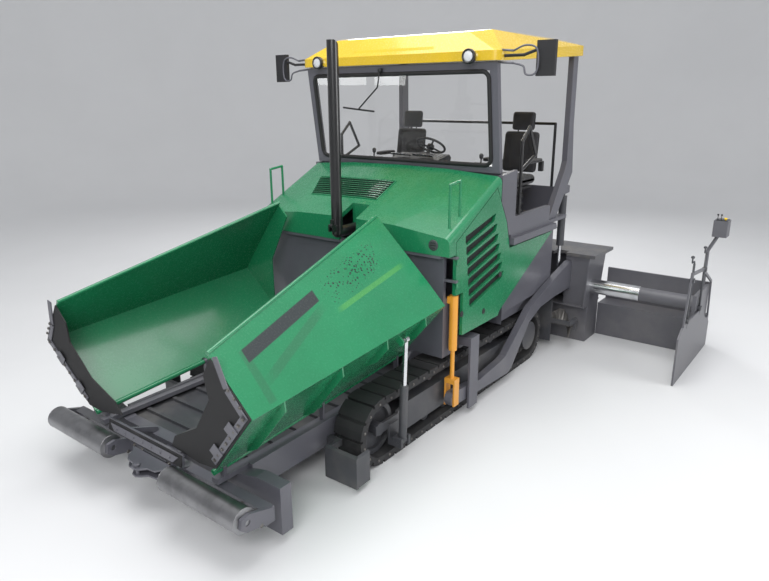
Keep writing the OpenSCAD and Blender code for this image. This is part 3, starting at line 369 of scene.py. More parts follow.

# %% [markdown]
# ## Decor and a painted shadow on the hopper wings
# The wings carry sprayed decor and no lettering: a dark grey stripe along the upper wall, a patch
# of dark flecks near the rear and a lime streak under it. A darker band behind the front edge is
# painted shadow, and a darker green band runs lower on the wall. The shapes are masks in the wing's
# own directions: along the hinge, and up the leaned wall.

# %% Wing decor
wing_front, hinge_y, hinge_z, hinge_rise = 3.080, 0.790, 0.540, math.radians(4.2)
rim_height, rim_slope, wall_out = 0.524, 0.2237, 0.80
wing_names = {1: ("left", 50), -1: ("right", 44)}  # side: name and lean in degrees


def band(f, value, low, high, soft=0.004):
    """1 while a value lies between two limits."""
    return f.between(value, low, low + soft) * f.between(value, high, high - soft)


def wing_pattern(side, lean):
    tilt = math.radians(lean)

    def pattern(f, base):
        along = wing_front - f.axis("X")
        rise = f.axis("Z") - hinge_z - along * math.tan(hinge_rise)
        outward = f.axis("Y") * side - hinge_y
        wall = rise * math.cos(tilt) - outward * math.sin(tilt)
        across = outward * math.cos(tilt) + rise * math.sin(tilt)
        drop = rim_height + along * rim_slope - wall
        outer = (across > wall_out) * (wall > 0.02) * (f.facing("Y") * side > 0.0)
        stripe = band(f, drop, 0.115, 0.225) * band(f, along, 0.16, 1.02)
        painted_shadow = band(f, along, 0.13, 0.20) * (drop > 0.115)
        lower = band(f, drop + (along - 0.2) * 0.16, 0.37, 0.45) * band(f, along, 0.13, 1.10, 0.25)
        cells = f.node("ShaderNodeTexVoronoi", {}, {"Vector": f.place(), "Scale": 38.0})
        cloud = f.blotches(5.5, 3.0)
        patch = band(f, along, 0.95, 2.10, 0.35) * band(f, drop, 0.03, 0.42, 0.12)
        flecks = cells < (patch * (cloud * 0.66))
        streak = drop - (along - 1.1) * 0.10
        lime = band(f, along, 1.10, 2.15, 0.12) * band(f, streak, 0.36, 0.41)
        # painted shadow: a darker green band behind the front edge stands in for shade
        base = f.blend(painted_shadow * outer * 0.35, base, [0.030, 0.085, 0.050, 1])
        base = f.blend(lower * outer * 0.45, base, [0.030, 0.110, 0.060, 1])
        base = f.blend(stripe * outer, base, [0.028, 0.036, 0.038, 1])
        base = f.blend(lime * outer * 0.5, base, [0.10, 0.36, 0.07, 1])
        return f.blend(flecks * outer, base, [0.016, 0.034, 0.026, 1])

    return pattern


wing_green = {side: enamel(f"{word}_wing_enamel", machine_green, 0.24, 0.5, 0.12,
                           pattern=wing_pattern(side, lean))
              for side, (word, lean) in wing_names.items()}
print("decorated wings:", len(wing_green))

# %% [markdown]
# ## Dressing the CAD pieces
# Each CAD piece has one material slot, and its finish goes there. The walkway is tread plate: rows
# of raised lozenges that keep a boot from slipping. A pair of crossed waves makes the lozenges.

# %% Tread plate
def tread_plate(name, colour):
    f = Finish(name, Metallic=0.0, Roughness=0.5)
    x, y = f.axis("X") * 125.0, f.axis("Y") * 125.0
    bars = f.between(f.wave(x + y) * f.wave(x - y), 0.15, 0.55)
    cloud = f.blotches(4.0)
    base = f.blend(f.between(cloud, 0.4, 0.7) * 0.6, colour, [0.16, 0.15, 0.135, 1])
    base = f.blend(bars * 0.5, base, [0.20, 0.20, 0.21, 1])
    return f.set(Base_Color=base, Roughness=0.55 - bars * 0.2,
                 Normal=f.bump(bars, 0.002, 0.6, f.soft_edge(0.003)))


tread = tread_plate("tread_plate", [0.085, 0.085, 0.095, 1])

# %% Assign the finishes
dress = {
    hood_green: ["engine_hood", "engine_door_left", "engine_door_right", "rear_panels"],
    body_grey: ["chassis_frame", "hopper_bulkhead", "rear_housing", "operator_platform",
                "windscreen_frame", "roof_pillars", "hopper_apron", "push_beam", "tow_arms"],
    dark_grey: ["track_frames", "track_deflectors", "slat_conveyor", "auger_carrier",
                "lift_barrel_left", "lift_barrel_right", "wing_barrel_left", "wing_barrel_right"],
    screed_grey: ["screed_body", "screed_extension_left", "screed_extension_right",
                  "end_gate_left", "end_gate_right"],
    gloss_black: ["exhaust_stack", "exhaust_base", "platform_rails"],
    roof_yellow: ["canopy_roof"],
    marker_orange: ["tow_cylinders"],
    tread: ["screed_walkway"],
    chrome_rod: ["wing_rod_left", "wing_rod_right", "lift_rod_left", "lift_rod_right",
                 "tube_stage_left", "tube_stage_right", "work_lamps"],
    roller_steel: ["push_roller_left", "push_roller_right"],
    worn_steel: ["auger_left", "auger_right", "engine_block"],
    track_rubber: ["track_left", "track_right"],
    flap_rubber: ["wing_flap_left", "wing_flap_right"],
    black_plastic: ["control_console", "operator_seats", "mirrors"],
    screen_glass: ["windscreen_glass"],
    wing_green[1]: ["hopper_wing_left"],
    wing_green[-1]: ["hopper_wing_right"],
}
for finish, names in dress.items():
    for name in names:
        slots = nodes[name].material_slots
        if not slots:
            nodes[name].data.materials.append(finish)
        for entry in slots:
            entry.material = finish
dressed = {name for names in dress.values() for name in names}
print("dressed:", len(dressed), "not dressed:", sorted(set(nodes) - dressed))

# %% [markdown]
# ## Small helpers for extra pieces
# Detail pieces are made as meshes in the same frame as the CAD. A block is never left as a plain
# cube: `block_into` bevels its edges. `tube_into` sweeps a circle along a path for rails and arms,
# `lathe_into` turns a profile round an axis, `loft_into` covers a row of sections, and `plate_into`
# gives a flat shape thickness. Tubes, turned pieces and lofts share one skin, made by `skin_into`.

# %% Mesh helpers
both_sides = ((1, "left"), (-1, "right"))
upright = (0, 0, 1)


def place_piece(name, bm, finish, body, smooth=True):
    """Turns a bmesh into a piece that rides on a body."""
    mesh = bpy.data.meshes.new(name)
    bm.to_mesh(mesh)
    bm.free()
    piece = bpy.data.objects.new(name, mesh)
    bpy.context.scene.collection.objects.link(piece)
    mesh.materials.append(finish)
    for face in mesh.polygons:
        face.use_smooth = smooth
    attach(piece, body)
    return piece


def block_into(bm, low, high, bevel=0.004, turn=None):
    """A bevelled block between two corners, turned about its middle if asked."""
    low, high = Vector(low), Vector(high)
    made = bmesh.ops.create_cube(bm, size=1)["verts"]
    middle, size = (low + high) / 2, high - low
    for v in made:
        v.co = Vector((v.co.x * size.x, v.co.y * size.y, v.co.z * size.z))
    edges = list({e for v in made for e in v.link_edges})
    out = bmesh.ops.bevel(bm, geom=edges, offset=min(bevel, min(size) * 0.45), segments=2,
                          profile=0.5, affect="EDGES")
    for v in {v for v in made if v.is_valid} | set(out["verts"]):
        v.co = (v.co if turn is None else turn @ v.co) + middle


def circle(middle, side, other, radius, count):
    """Points round a circle that lies along two square directions."""
    angles = [2 * math.pi * k / count for k in range(count)]
    return [middle + (side * math.cos(a) + other * math.sin(a)) * radius for a in angles]


def skin_into(bm, rings, closed=False):
    """Joins rings of points into a skin, with end caps unless it closes on itself."""
    rings = [[bm.verts.new(point) for point in ring] for ring in rings]
    sides = len(rings[0])
    for first, second in zip(rings, rings[1:] + (rings[:1] if closed else [])):
        for k in range(sides):
            bm.faces.new((first[k], first[(k + 1) % sides], second[(k + 1) % sides], second[k]))
    if not closed:
        bm.faces.new(list(reversed(rings[0])))
        bm.faces.new(rings[-1])


def tube_into(bm, points, radius, sides=12, closed=False):
    """A round tube along a list of points."""
    points = [Vector(p) for p in points]
    rings, side = [], None
    for i, point in enumerate(points):
        before = points[i - 1] if i or closed else point
        after = points[(i + 1) % len(points)] if i < len(points) - 1 or closed else point
        along = (after - before).normalized()
        if side is None:
            side = along.orthogonal().normalized()
        side = (side - along * side.dot(along)).normalized()
        rings.append(circle(point, side, along.cross(side), radius, sides))
    skin_into(bm, rings, closed)


def smooth_path(points, steps=8):
    """A Catmull-Rom curve through the points."""
    points = [Vector(p) for p in points]
    ends = [points[0] * 2 - points[1]] + points + [points[-1] * 2 - points[-2]]
    path = []
    for a, b, c, d in zip(ends, ends[1:], ends[2:], ends[3:]):
        for k in range(steps):
            t = k / steps
            path.append(0.5 * (2 * b + (c - a) * t + (2 * a - 5 * b + 4 * c - d) * t * t
                               + (3 * b - a - 3 * c + d) * t * t * t))
    return path + [points[-1]]


def lathe_into(bm, centre, axis, profile, sides=32):
    """Turns a profile of (distance along the axis, radius) round the axis."""
    axis = Vector(axis).normalized()
    side = axis.orthogonal().normalized()
    other = axis.cross(side)
    skin_into(bm, [circle(Vector(centre) + axis * along, side, other, max(radius, 1e-4), sides)
                   for along, radius in profile])


def loft_into(bm, rings):
    """Covers a row of sections, with every face turned outwards."""
    skin_into(bm, rings)
    bmesh.ops.recalc_face_normals(bm, faces=bm.faces)


def plate_into(bm, corners, offset, bevel=0.002):
    """A flat outline pushed along a vector into a plate."""
    face = bm.faces.new([bm.verts.new(Vector(c)) for c in corners])
    out = bmesh.ops.extrude_face_region(bm, geom=[face])["geom"]
    moved = [g for g in out if isinstance(g, bmesh.types.BMVert)]
    bmesh.ops.translate(bm, verts=moved, vec=Vector(offset))
    verts = set(face.verts) | set(moved)
    edges = [e for e in bm.edges if e.verts[0] in verts and e.verts[1] in verts]
    bmesh.ops.recalc_face_normals(bm, faces=bm.faces)
    bmesh.ops.bevel(bm, geom=edges, offset=bevel, segments=1, affect="EDGES")


def bolt_into(bm, centre, axis, radius=0.011, height=0.008):
    """A hexagon head on its washer."""
    washer = radius * 1.35
    lathe_into(bm, centre, axis, [(0, washer), (0.002, washer), (0.0021, radius)], 16)
    axis = Vector(axis).normalized()
    lathe_into(bm, Vector(centre) + axis * 0.002, axis,
               [(0, radius), (height * 0.8, radius), (height, radius * 0.8)], 6)


print("helpers are ready")

# %% [markdown]
# ## Seats
# A driver's seat is foam under a woven cover, so nothing on it is flat: the faces swell, the sides
# pull in between the corners, and seams press channels into it. One function starts from a fine
# block, pushes its points onto a rounded form, adds the crown and then presses the channels in.

# %% Seat cover
def woven_cover(name, colour):
    f = Finish(name, Roughness=0.85, Sheen_Weight=0.25)
    x, y, z = (f.axis(letter) for letter in "XYZ")
    weave = f.wave((x + z) * 1900.0) * f.wave(y * 1900.0)
    cloud = f.blotches(6.0, 4.0)
    base = f.blend(f.between(cloud, 0.35, 0.7), colour, shade(colour, 1.7))
    return f.set(Base_Color=base, Roughness=0.80 + cloud * 0.12, Normal=f.bump(weave, 0.0012, 0.45))


seat_cloth = woven_cover("seat_cloth", [0.018, 0.018, 0.021, 1])
seam_thread = moulded_plastic("seam_piping", [0.045, 0.045, 0.050, 1], 0.6)


# %% Padded form
waist_pull, seam_width, seam_depth = 0.035, 0.045, 0.010
pipe_radius, pipe_points, squareness = 0.0045, 64, 0.32


def cushion(name, middle, size, turn, crown, seams):
    """A crowned pad. seams are places across (from -1 to 1) where the cover is sewn down."""
    bm = bmesh.new()
    bmesh.ops.create_cube(bm, size=2)
    bmesh.ops.subdivide_edges(bm, edges=bm.edges, cuts=23, use_grid_fill=True)
    half = Vector(size) / 2
    radius = min(half) * 0.72
    for v in bm.verts:
        unit = v.co.copy()
        waist = (1 - waist_pull * (1 - unit.x ** 4) * abs(unit.y)
                 - waist_pull * (1 - unit.y ** 4) * abs(unit.x))
        point = Vector((unit.x * half.x * waist, unit.y * half.y * waist, unit.z * half.z))
        core = Vector([max(-h + radius, min(h - radius, c)) for h, c in zip(half, point)])
        reach = point - core
        if reach.length > 1e-6:
            point = core + reach.normalized() * radius
        swell = (1 - unit.x ** 2) * (1 - unit.y ** 2)
        point.z += math.copysign(crown * swell, unit.z) - math.copysign(crown * 0.9, unit.z)
        for seam in seams if unit.z > 0 else ():
            press = math.exp(-((unit.y - seam) / seam_width) ** 2) * (1 - unit.x ** 6)
            point.z -= seam_depth * press
        v.co = turn @ point + Vector(middle)
    pad = place_piece(name, bm, seat_cloth, "root")


def piping(name, middle, size, turn, height):
    """The sewn edge round a pad."""
    bm = bmesh.new()
    ring = []
    for k in range(pipe_points):
        angle = 2 * math.pi * k / pipe_points
        c, s = math.cos(angle), math.sin(angle)
        flat = Vector((math.copysign(abs(c) ** squareness, c) * size[0] / 2 * 0.955,
                       math.copysign(abs(s) ** squareness, s) * size[1] / 2 * 0.955, height))
        ring.append(turn @ flat + Vector(middle))
    tube_into(bm, ring, pipe_radius, 8, closed=True)
    cord = place_piece(name, bm, seam_thread, "root")


# %% Two seats
def leaned(degrees):
    """The turn of a pad that stands on end and leans back."""
    stood, lean = math.radians(90), math.radians(-degrees)
    return Matrix.Rotation(lean, 3, "Y") @ Matrix.Rotation(stood, 3, "Y")


level, stitches = Matrix.Identity(3), (-0.55, 0.55)
for side, y in (("left", 0.8), ("right", -0.8)):
    seat_mid, seat_size = (-1.43, y, 2.210), (0.48, 0.44, 0.14)
    cushion(f"seat_base_{side}", seat_mid, seat_size, level, 0.018, stitches)
    piping(f"seat_base_piping_{side}", seat_mid, seat_size, level, 0.012)
    back_mid, back_size = (-1.672, y, 2.515), (0.47, 0.43, 0.12)
    cushion(f"seat_back_{side}", back_mid, back_size, leaned(8), 0.016, stitches)
    piping(f"seat_back_piping_{side}", back_mid, back_size, leaned(8), 0.012)
    cushion(f"seat_head_{side}", (-1.725, y, 2.868), (0.21, 0.28, 0.095), leaned(5), 0.012, ())
    bm = bmesh.new()
    for step in range(7):
        z, inset = 1.80 + step * 0.045, 0.012 * (step % 2)
        block_into(bm, (-1.55 + inset, y - 0.135 + inset, z),
                   (-1.29 - inset, y + 0.135 - inset, z + 0.042), 0.014)
    block_into(bm, (-1.56, y - 0.14, 1.752), (-1.28, y + 0.14, 1.802), 0.010)
    block_into(bm, (-1.62, y - 0.20, 2.105), (-1.22, y + 0.20, 2.142), 0.012)
    for s in (-1, 1):
        arm = y + s * 0.27
        block_into(bm, (-1.70, arm - 0.030, 2.300), (-1.655, arm + 0.030, 2.420), 0.010)
        tube_into(bm, [(-1.70, y + s * 0.06, 2.73), (-1.72, y + s * 0.06, 2.80)], 0.008)
    base = place_piece(f"seat_frame_{side}", bm, black_plastic, "root", smooth=False)
    for s, place in ((-1, "inner"), (1, "outer")):
        cushion(f"arm_pad_{side}_{place}", (-1.47, y + s * 0.27, 2.435), (0.34, 0.075, 0.05),
                level, 0.004, ())
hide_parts("operator_seats")
print("seats:", 2)

# %% [markdown]
# ## Drive station
# Between the seats and the windscreen stands a dark console. It carries a steering wheel, two
# screens and rows of keys. The keys have no signs, and the screens are dark glass.

# %% Console details
screen_dark = moulded_plastic("display_glass", [0.006, 0.010, 0.014, 1], 0.12)
key_grey = moulded_plastic("key_caps", [0.16, 0.16, 0.17, 1], 0.4)
displays, console_tilt = bmesh.new(), Matrix.Rotation(math.radians(-10), 3, "Y")
for y in (-0.19, 0.12):
    block_into(displays, (-0.66, y - 0.10, 2.505), (-0.52, y + 0.10, 2.522), 0.006, console_tilt)
place_piece("console_displays", displays, screen_dark, "root", smooth=False)
keys = bmesh.new()
for row in range(3):
    for column in range(12):
        x, y, drop = -0.80 + row * 0.036, -0.28 + column * 0.051, row * 0.006
        block_into(keys, (x, y - 0.013, 2.503 - drop), (x + 0.024, y + 0.013, 2.515 - drop), 0.003)
place_piece("console_keys", keys, key_grey, "root", smooth=False)
wheel, hub, column_foot = bmesh.new(), Vector((-0.94, 0.0, 2.60)), Vector((-0.83, 0, 2.46))
wheel_axis = Vector((-0.55, 0, 0.83)).normalized()
side = wheel_axis.orthogonal().normalized()
other = wheel_axis.cross(side)
tube_into(wheel, circle(hub, side, other, 0.17, 40), 0.014, 12, closed=True)
for rim in circle(hub, side, other, 0.165, 3):
    tube_into(wheel, [hub - wheel_axis * 0.02, rim], 0.011, 8)
lathe_into(wheel, hub - wheel_axis * 0.05, wheel_axis,
           [(0, 0.03), (0.01, 0.045), (0.055, 0.040), (0.062, 0.02)], 24)
tube_into(wheel, [hub - wheel_axis * 0.04, column_foot], 0.022, 12)
place_piece("steering_wheel", wheel, black_plastic, "root")
levers = bmesh.new()
for y in (-0.75, 0.75):
    tube_into(levers, [(-0.80, y, 2.43), (-0.81, y, 2.50)], 0.009, 8)
    lathe_into(levers, (-0.81, y, 2.49), upright,
               [(0, 0.012), (0.015, 0.022), (0.045, 0.024), (0.060, 0.012)], 20)
    for k in range(4):
        x = -0.72 + k * 0.035
        block_into(levers, (x, y - 0.02, 2.430), (x + 0.02, y + 0.02, 2.442), 0.004)
place_piece("side_levers", levers, black_plastic, "root")
print("console pieces:", 4)

# %% [markdown]
# ## Painted shade behind the slots
# A look through the louvres of the hollow hood would meet daylight. Thin black sheets with a
# punched grid stand just behind the slots and move with the doors; they are painted shade for the
# dark inside.

# %% Painted shade sheets
def shade_sheet_finish(name):
    f = Finish(name, Roughness=0.6, Metallic=0.3)
    x, y, z = (f.axis(letter) * 700.0 for letter in "XYZ")
    grid = f.wave(x + y) * f.wave(z + y)
    holes = f.between(grid, 0.1, 0.4)
    # painted shade: near-black sheet, darker still in the punched holes, stands in for the dark
    # inside the hood
    base = f.blend(holes, [0.028, 0.028, 0.030, 1], [0.003, 0.003, 0.003, 1])
    return f.set(Base_Color=base, Roughness=0.45 + holes * 0.4, Normal=f.bump(grid, 0.002, 0.5))


shade_sheet_black = shade_sheet_finish("painted_shade_sheet")
door_face, screen_gap = 1.2775, 0.034
door_outline = ((0.46, 1.00), (0.46, 1.86), (-0.21, 2.20), (-0.43, 1.88), (-0.55, 1.36),
                (-0.33, 0.96))
for side, word in both_sides:
    screen, depth = bmesh.new(), side * (door_face - screen_gap)
    plate_into(screen, [(x, depth, z) for x, z in door_outline], (0, -side * 0.004, 0), 0.001)
    place_piece(f"door_shade_sheet_{word}", screen, shade_sheet_black, f"engine_door_{word}", smooth=False)
screen = bmesh.new()
plate_into(screen, [(0.015, -0.90, 2.175), (0.015, 0.18, 2.175), (0.335, 0.18, 2.020),
                    (0.335, -0.90, 2.020)], (0, 0, -0.004), 0.001)
place_piece("hood_shade_sheet", screen, shade_sheet_black, "root", smooth=False)
print("screens:", 3)

# %% [markdown]
# ## Black flaps and their clamp plates
# Rubber flaps close the front of the hopper. A steel plate clamps each flap along its lower edge,
# and bolts pass through both. The plate follows the trough, so its points are given in the wing's
# own directions: along the hinge, out across the floor, and up the wall.

# %% Wing directions
def wing_point(side, lean, along, out, up):
    """A point on a wing. out runs across its floor, up stands square to it."""
    tilt = math.radians(lean)
    rear = Vector((-math.cos(hinge_rise), 0, math.sin(hinge_rise)))
    lift = Vector((math.sin(hinge_rise), 0, math.cos(hinge_rise)))
    wide = Vector((0, side, 0))
    across = wide * math.cos(tilt) + lift * math.sin(tilt)
    square = lift * math.cos(tilt) - wide * math.sin(tilt)
    return Vector((wing_front, side * hinge_y, hinge_z)) + rear * along + across * out + square * up


def strip_on_wing(bm, side, lean, line, width, along, thick):
    """A bent flat bar whose outer edge follows a line of (out, up) points."""
    for (o0, u0), (o1, u1) in zip(line, line[1:]):
        run = Vector((o1 - o0, u1 - u0)).normalized()
        inward = Vector((-run.y, run.x)) * width
        a, b = Vector((o0, u0)), Vector((o1, u1))
        corners = [a, b, b + inward, a + inward]
        points = [wing_point(side, lean, along, c.x, c.y) for c in corners]
        push = wing_point(side, lean, along - thick, 0, 0) - wing_point(side, lean, along, 0, 0)
        plate_into(bm, points, push, 0.002)


for side, (word, lean) in wing_names.items():
    bars = bmesh.new()
    line = [(0.13, 0.010), (0.46, 0.010), (0.80, 0.010), (0.838, 0.245), (0.955, 0.440)]
    strip_on_wing(bars, side, lean, line, 0.055, -0.013, 0.010)
    for start, end in ((0.20, 0.30), (0.52, 0.62)):
        strip_on_wing(bars, side, lean, [(start, 0.006), (end, 0.006)], 0.105, -0.024, 0.008)
    place_piece(f"flap_clamp_{word}", bars, body_grey, f"wing_{word}", smooth=False)
    heads = bmesh.new()
    ahead = wing_point(side, lean, -1, 0, 0) - wing_point(side, lean, 0, 0, 0)
    spots = [(0.17 + 0.085 * k, 0.037) for k in range(8)]
    spots += [(0.826 + 0.006 * k, 0.10 + 0.07 * k) for k in range(3)]
    for out, up in spots:
        bolt_into(heads, wing_point(side, lean, -0.0235, out - 0.005, up), ahead, 0.011, 0.009)
    place_piece(f"flap_bolts_{word}", heads, worn_steel, f"wing_{word}")
print("clamp plates: 2")

# %% [markdown]
# ## Push beam and rollers
# The beam is bolted to its pivot block, so two rows of large heads run along its face. Each roller
# ends in turned caps, and a truck hitch and a hook plate sit between the rollers.

# %% Push beam details
beam_front = 3.046
heads = bmesh.new()
for y in (-1.20, -1.05, -0.30, -0.18, 0.18, 0.30, 1.05, 1.20):
    for z in (0.305, 0.372):
        bolt_into(heads, (beam_front, y, z), (1, 0, 0), 0.014, 0.012)
for y, reach in ((0.352, -1), (1.288, 1)):
    for side in (-1, 1):
        bolt_into(heads, (3.08, side * (y - 0.001), 0.31), (0, side * reach, 0), 0.012, 0.0005)
place_piece("push_beam_bolts", heads, worn_steel, "push_beam")
hitch, pin = bmesh.new(), (3.225, 0.020, 0.392)
jaw = ((3.060, -0.300), (3.105, -0.235), (3.165, -0.200), (3.205, -0.150), (3.215, -0.060),
       (3.255, -0.020), (3.262, 0.030), (3.235, 0.075), (3.195, 0.110), (3.185, 0.190),
       (3.120, 0.235), (3.060, 0.300))
for z in (0.300, 0.362):
    plate_into(hitch, [(x, y, z) for x, y in jaw], (0, 0, 0.016), 0.003)
tube_into(hitch, [(3.225, 0.020, 0.292), pin], 0.017, 20)
lathe_into(hitch, pin, upright, [(0, 0.026), (0.008, 0.026), (0.011, 0.020), (0.011, 0.001)], 6)
place_piece("truck_hitch", hitch, body_grey, "push_beam", smooth=False)
hook = bmesh.new()
plate_into(hook, [(3.047, -0.16, 0.285), (3.047, 0.16, 0.285), (3.047, 0.16, 0.392),
                  (3.047, -0.16, 0.392)], (0.014, 0, 0), 0.003)
cheek = ((3.060, 0.32), (3.150, 0.32), (3.165, 0.345), (3.150, 0.365), (3.060, 0.365))
for y in (-0.05, 0.025):
    plate_into(hook, [(x, y, z) for x, z in cheek], (0, 0.025, 0), 0.003)
tube_into(hook, [(3.125, -0.065, 0.343), (3.125, 0.065, 0.343)], 0.011, 16)
place_piece("hook_plate", hook, dark_grey, "push_beam", smooth=False)
cap_profile = [(-0.004, 0.0985), (-0.001, 0.0985), (0.0005, 0.092), (0.0005, 0.050),
               (0.004, 0.046), (0.004, 0.0225)]
for side, word in both_sides:
    for label, y, out in (("inner", 0.390, -1), ("outer", 1.250, 1)):
        cap = bmesh.new()
        lathe_into(cap, (3.200, side * y, 0.400), (0, side * out, 0), cap_profile, 48)
        place_piece(f"roller_cap_{word}_{label}", cap, roller_steel, f"push_roller_{word}")
print("push beam pieces:", 7)

# %% [markdown]
# ## Apron between the flaps
# A rubber sheet closes the gap between the wings over the beam. A steel plate with slanted ends
# clamps its upper edge, and its bolts stand in a row.

# %% Apron sheet and clamp
sheet = bmesh.new()
plate_into(sheet, [(3.118, -0.495, 0.592), (3.118, 0.495, 0.592), (3.138, 0.495, 0.500),
                   (3.138, -0.495, 0.500)], (0.010, 0, 0.002), 0.002)
place_piece("apron_rubber", sheet, flap_rubber, "root", smooth=False)
clamp = bmesh.new()
plate_into(clamp, [(3.134, -0.460, 0.570), (3.134, 0.460, 0.570), (3.147, 0.400, 0.515),
                   (3.147, -0.400, 0.515)], (0.008, 0, 0.002), 0.002)
for k in range(7):
    bolt_into(clamp, (3.148, -0.36 + 0.12 * k, 0.545), (1, 0, 0.2), 0.009, 0.007)
place_piece("apron_clamp", clamp, body_grey, "root", smooth=False)
print("apron: dressed")

# %% [markdown]
# ## Louvres on the hood
# Air leaves through a bank of louvres in the hood's top, just ahead of the windscreen. A dark pan
# sinks into the sheet, and slanted blades cross it; the pan is painted shade, black in the gaps
# between the blades. The bank is a leaning block, because its right end steps in as it nears the
# exhaust.

# %% Hood louvres
hood_half, shoulder, blade_count, blade_pitch = 1.208, 0.639, 9, 0.0362
bank_rear, bank_front, bank_left, bank_right = 0.005, 0.345, 0.185, -0.90
stations = (0.0, -0.3, -shoulder, bank_right)  # across the hood, after the left end


def hood_top(x, y, above):
    """A point over the hood's crowned and sloping top."""
    wide = abs(y)
    crown = (1 - 0.2 * wide / shoulder if wide < shoulder
             else 0.8 * (hood_half - wide) / (hood_half - shoulder))
    front, rear = 1.915 + 0.075 * crown, 2.385 + 0.045 * crown
    height = rear + (front - rear) * (x + 0.305) / 0.973
    return Vector((x + above * 0.41, y, height + above * 0.91))


def right_end(x):
    """How far the bank reaches to the right at x."""
    return bank_right + (x - bank_rear) * 0.5


pan = bmesh.new()
rim = ((bank_rear, -0.001), (bank_front, -0.001), (bank_front, 0.003), (bank_rear, 0.003))
loft_into(pan, [[hood_top(x, y if y > bank_right else right_end(x), h) for x, h in rim]
                for y in (bank_left, *stations)])
# painted shade: the gloss black pan shows black between the blades, where the openings are
place_piece("louvre_pan", pan, gloss_black, "root", smooth=False)
blades = bmesh.new()
section = [(0.000, 0.003), (0.014, 0.019), (0.021, 0.021), (0.023, 0.016), (0.019, 0.012),
           (0.006, 0.003)]
for k in range(blade_count):
    x = 0.018 + k * blade_pitch
    loft_into(blades, [[hood_top(x + a, y if y > bank_right else right_end(x) + 0.012, h)
                        for a, h in section] for y in (0.172, *stations)])
front_edge = [(bank_front, y) for y in (bank_left, 0.0, -shoulder, right_end(bank_front))]
rear_edge = [(bank_rear, y) for y in (right_end(bank_rear), -shoulder, 0.0, bank_left)]
border = [hood_top(x, y, 0.006) for x, y in front_edge + rear_edge]
tube_into(blades, border, 0.008, 10, closed=True)
place_piece("louvre_blades", blades, hood_green, "root", smooth=False)
print("louvre blades:", blade_count)

# %% [markdown]
# ## Vents and locks of the engine cover
# Round vents sit at the hood's front corners, each with three slots. Each door has three round
# locks near its edges.

# %% Vents and locks
vent_x, vent_y, vent_z = 0.6695, 1.10, 1.835
lock_profile = [(-0.002, 0.030), (0.003, 0.030), (0.006, 0.026), (0.006, 0.012), (0.004, 0.011),
                (0.004, 0.001)]
for side, word in both_sides:
    vents, slots, locks, y = bmesh.new(), bmesh.new(), bmesh.new(), side * vent_y
    lathe_into(vents, (vent_x, y, vent_z), (1, 0, 0),
               [(0, 0.052), (0.004, 0.052), (0.006, 0.048), (0.006, 0.001)], 40)
    place_piece(f"corner_vent_{word}", vents, dark_grey, "root")
    # painted shade: each slot is a thin gloss black block that stands in for the dark opening
    for k in (-1, 0, 1):
        half, z = 0.034 - abs(k) * 0.006, vent_z + k * 0.024
        block_into(slots, (vent_x + 0.005, y - half, z - 0.006),
                   (vent_x + 0.008, y + half, z + 0.006), 0.0012)
    place_piece(f"corner_slots_{word}", slots, gloss_black, "root", smooth=False)
    for x, z in ((-0.35, 1.36), (-0.02, 1.04), (0.42, 1.13)):
        lathe_into(locks, (x, side * door_face, z), (0, side, 0), lock_profile, 32)
    place_piece(f"door_locks_{word}", locks, black_plastic, f"engine_door_{word}")
print("vents:", 2, "locks:", 6)

# %% [markdown]
# ## Windscreen seal and wiper
# The glass is held in a black rubber profile. A wiper with a jointed arm hangs from the top.

# %% Seal and wiper
screen_lean = math.radians(8)


def screen_point(y, up, ahead=0.0):
    """A point on the windscreen: up its leaned face, ahead of its front face."""
    c, s = math.cos(screen_lean), math.sin(screen_lean)
    return Vector((-0.330 + ahead * c + up * s, y, 2.405 - ahead * s + up * c))


def round_frame(half, low, high, radius, steps=6):
    """Corners of a frame with round corners, as (across, up)."""
    out = []
    for cy, cz, start in ((half - radius, high - radius, 0), (radius - half, high - radius, 90),
                          (radius - half, low + radius, 180), (half - radius, low + radius, 270)):
        for k in range(steps + 1):
            angle = math.radians(start + 90 * k / steps)
            out.append((cy + radius * math.cos(angle), cz + radius * math.sin(angle)))
    return out


seal = bmesh.new()
outline = [screen_point(y, up, 0.002) for y, up in round_frame(1.140, 0.078, 0.988, 0.075)]
tube_into(seal, outline, 0.022, 12, closed=True)
place_piece("screen_seal", seal, flap_rubber, "root")
wiper = bmesh.new()
for path, radius, sides in (
        (((-0.15, 1.030, 0.006), (-0.15, 1.030, 0.045)), 0.022, 20),
        (((-0.15, 1.030, 0.038), (-0.20, 0.86, 0.034), (-0.52, 0.62, 0.014)), 0.008, 12),
        (((-0.30, 0.60, 0.006), (-0.52, 0.62, 0.010), (-0.74, 0.64, 0.006)), 0.010, 12)):
    tube_into(wiper, [screen_point(*spot) for spot in path], radius, sides)
place_piece("wiper", wiper, black_plastic, "root")
print("seal and wiper: placed")

# %% [markdown]
# ## Lamps and mirrors
# Each work lamp has a turned bezel and a ribbed, slightly domed lens. The mirrors carry glass on
# the back of a moulded shell, and a bent tube guards each one.

# %% Lamps and mirrors
def ribbed_lens(name):
    f = Finish(name, Base_Color=[0.82, 0.84, 0.86, 1], Roughness=0.08, Coat_Weight=0.8)
    ribs = f.wave(f.axis("Y") * 520.0)
    # painted light and shade: each rib is lighter on one flank and darker on the other, following
    # the rib wave
    base = f.blend(f.between(ribs, -0.4, 0.8), [0.50, 0.52, 0.55, 1], [0.90, 0.91, 0.92, 1])
    return f.set(Base_Color=base, Roughness=0.06 + ribs * 0.02, Normal=f.bump(ribs, 0.002, 0.5))


def mirror_glass(name):
    f = Finish(name, Metallic=1.0, Roughness=0.03)
    film = f.blotches(7.0, 4.0)
    base = f.blend(f.between(film, 0.4, 0.8), [0.86, 0.88, 0.90, 1], [0.72, 0.74, 0.76, 1])
    return f.set(Base_Color=base, Roughness=0.02 + film * 0.05)


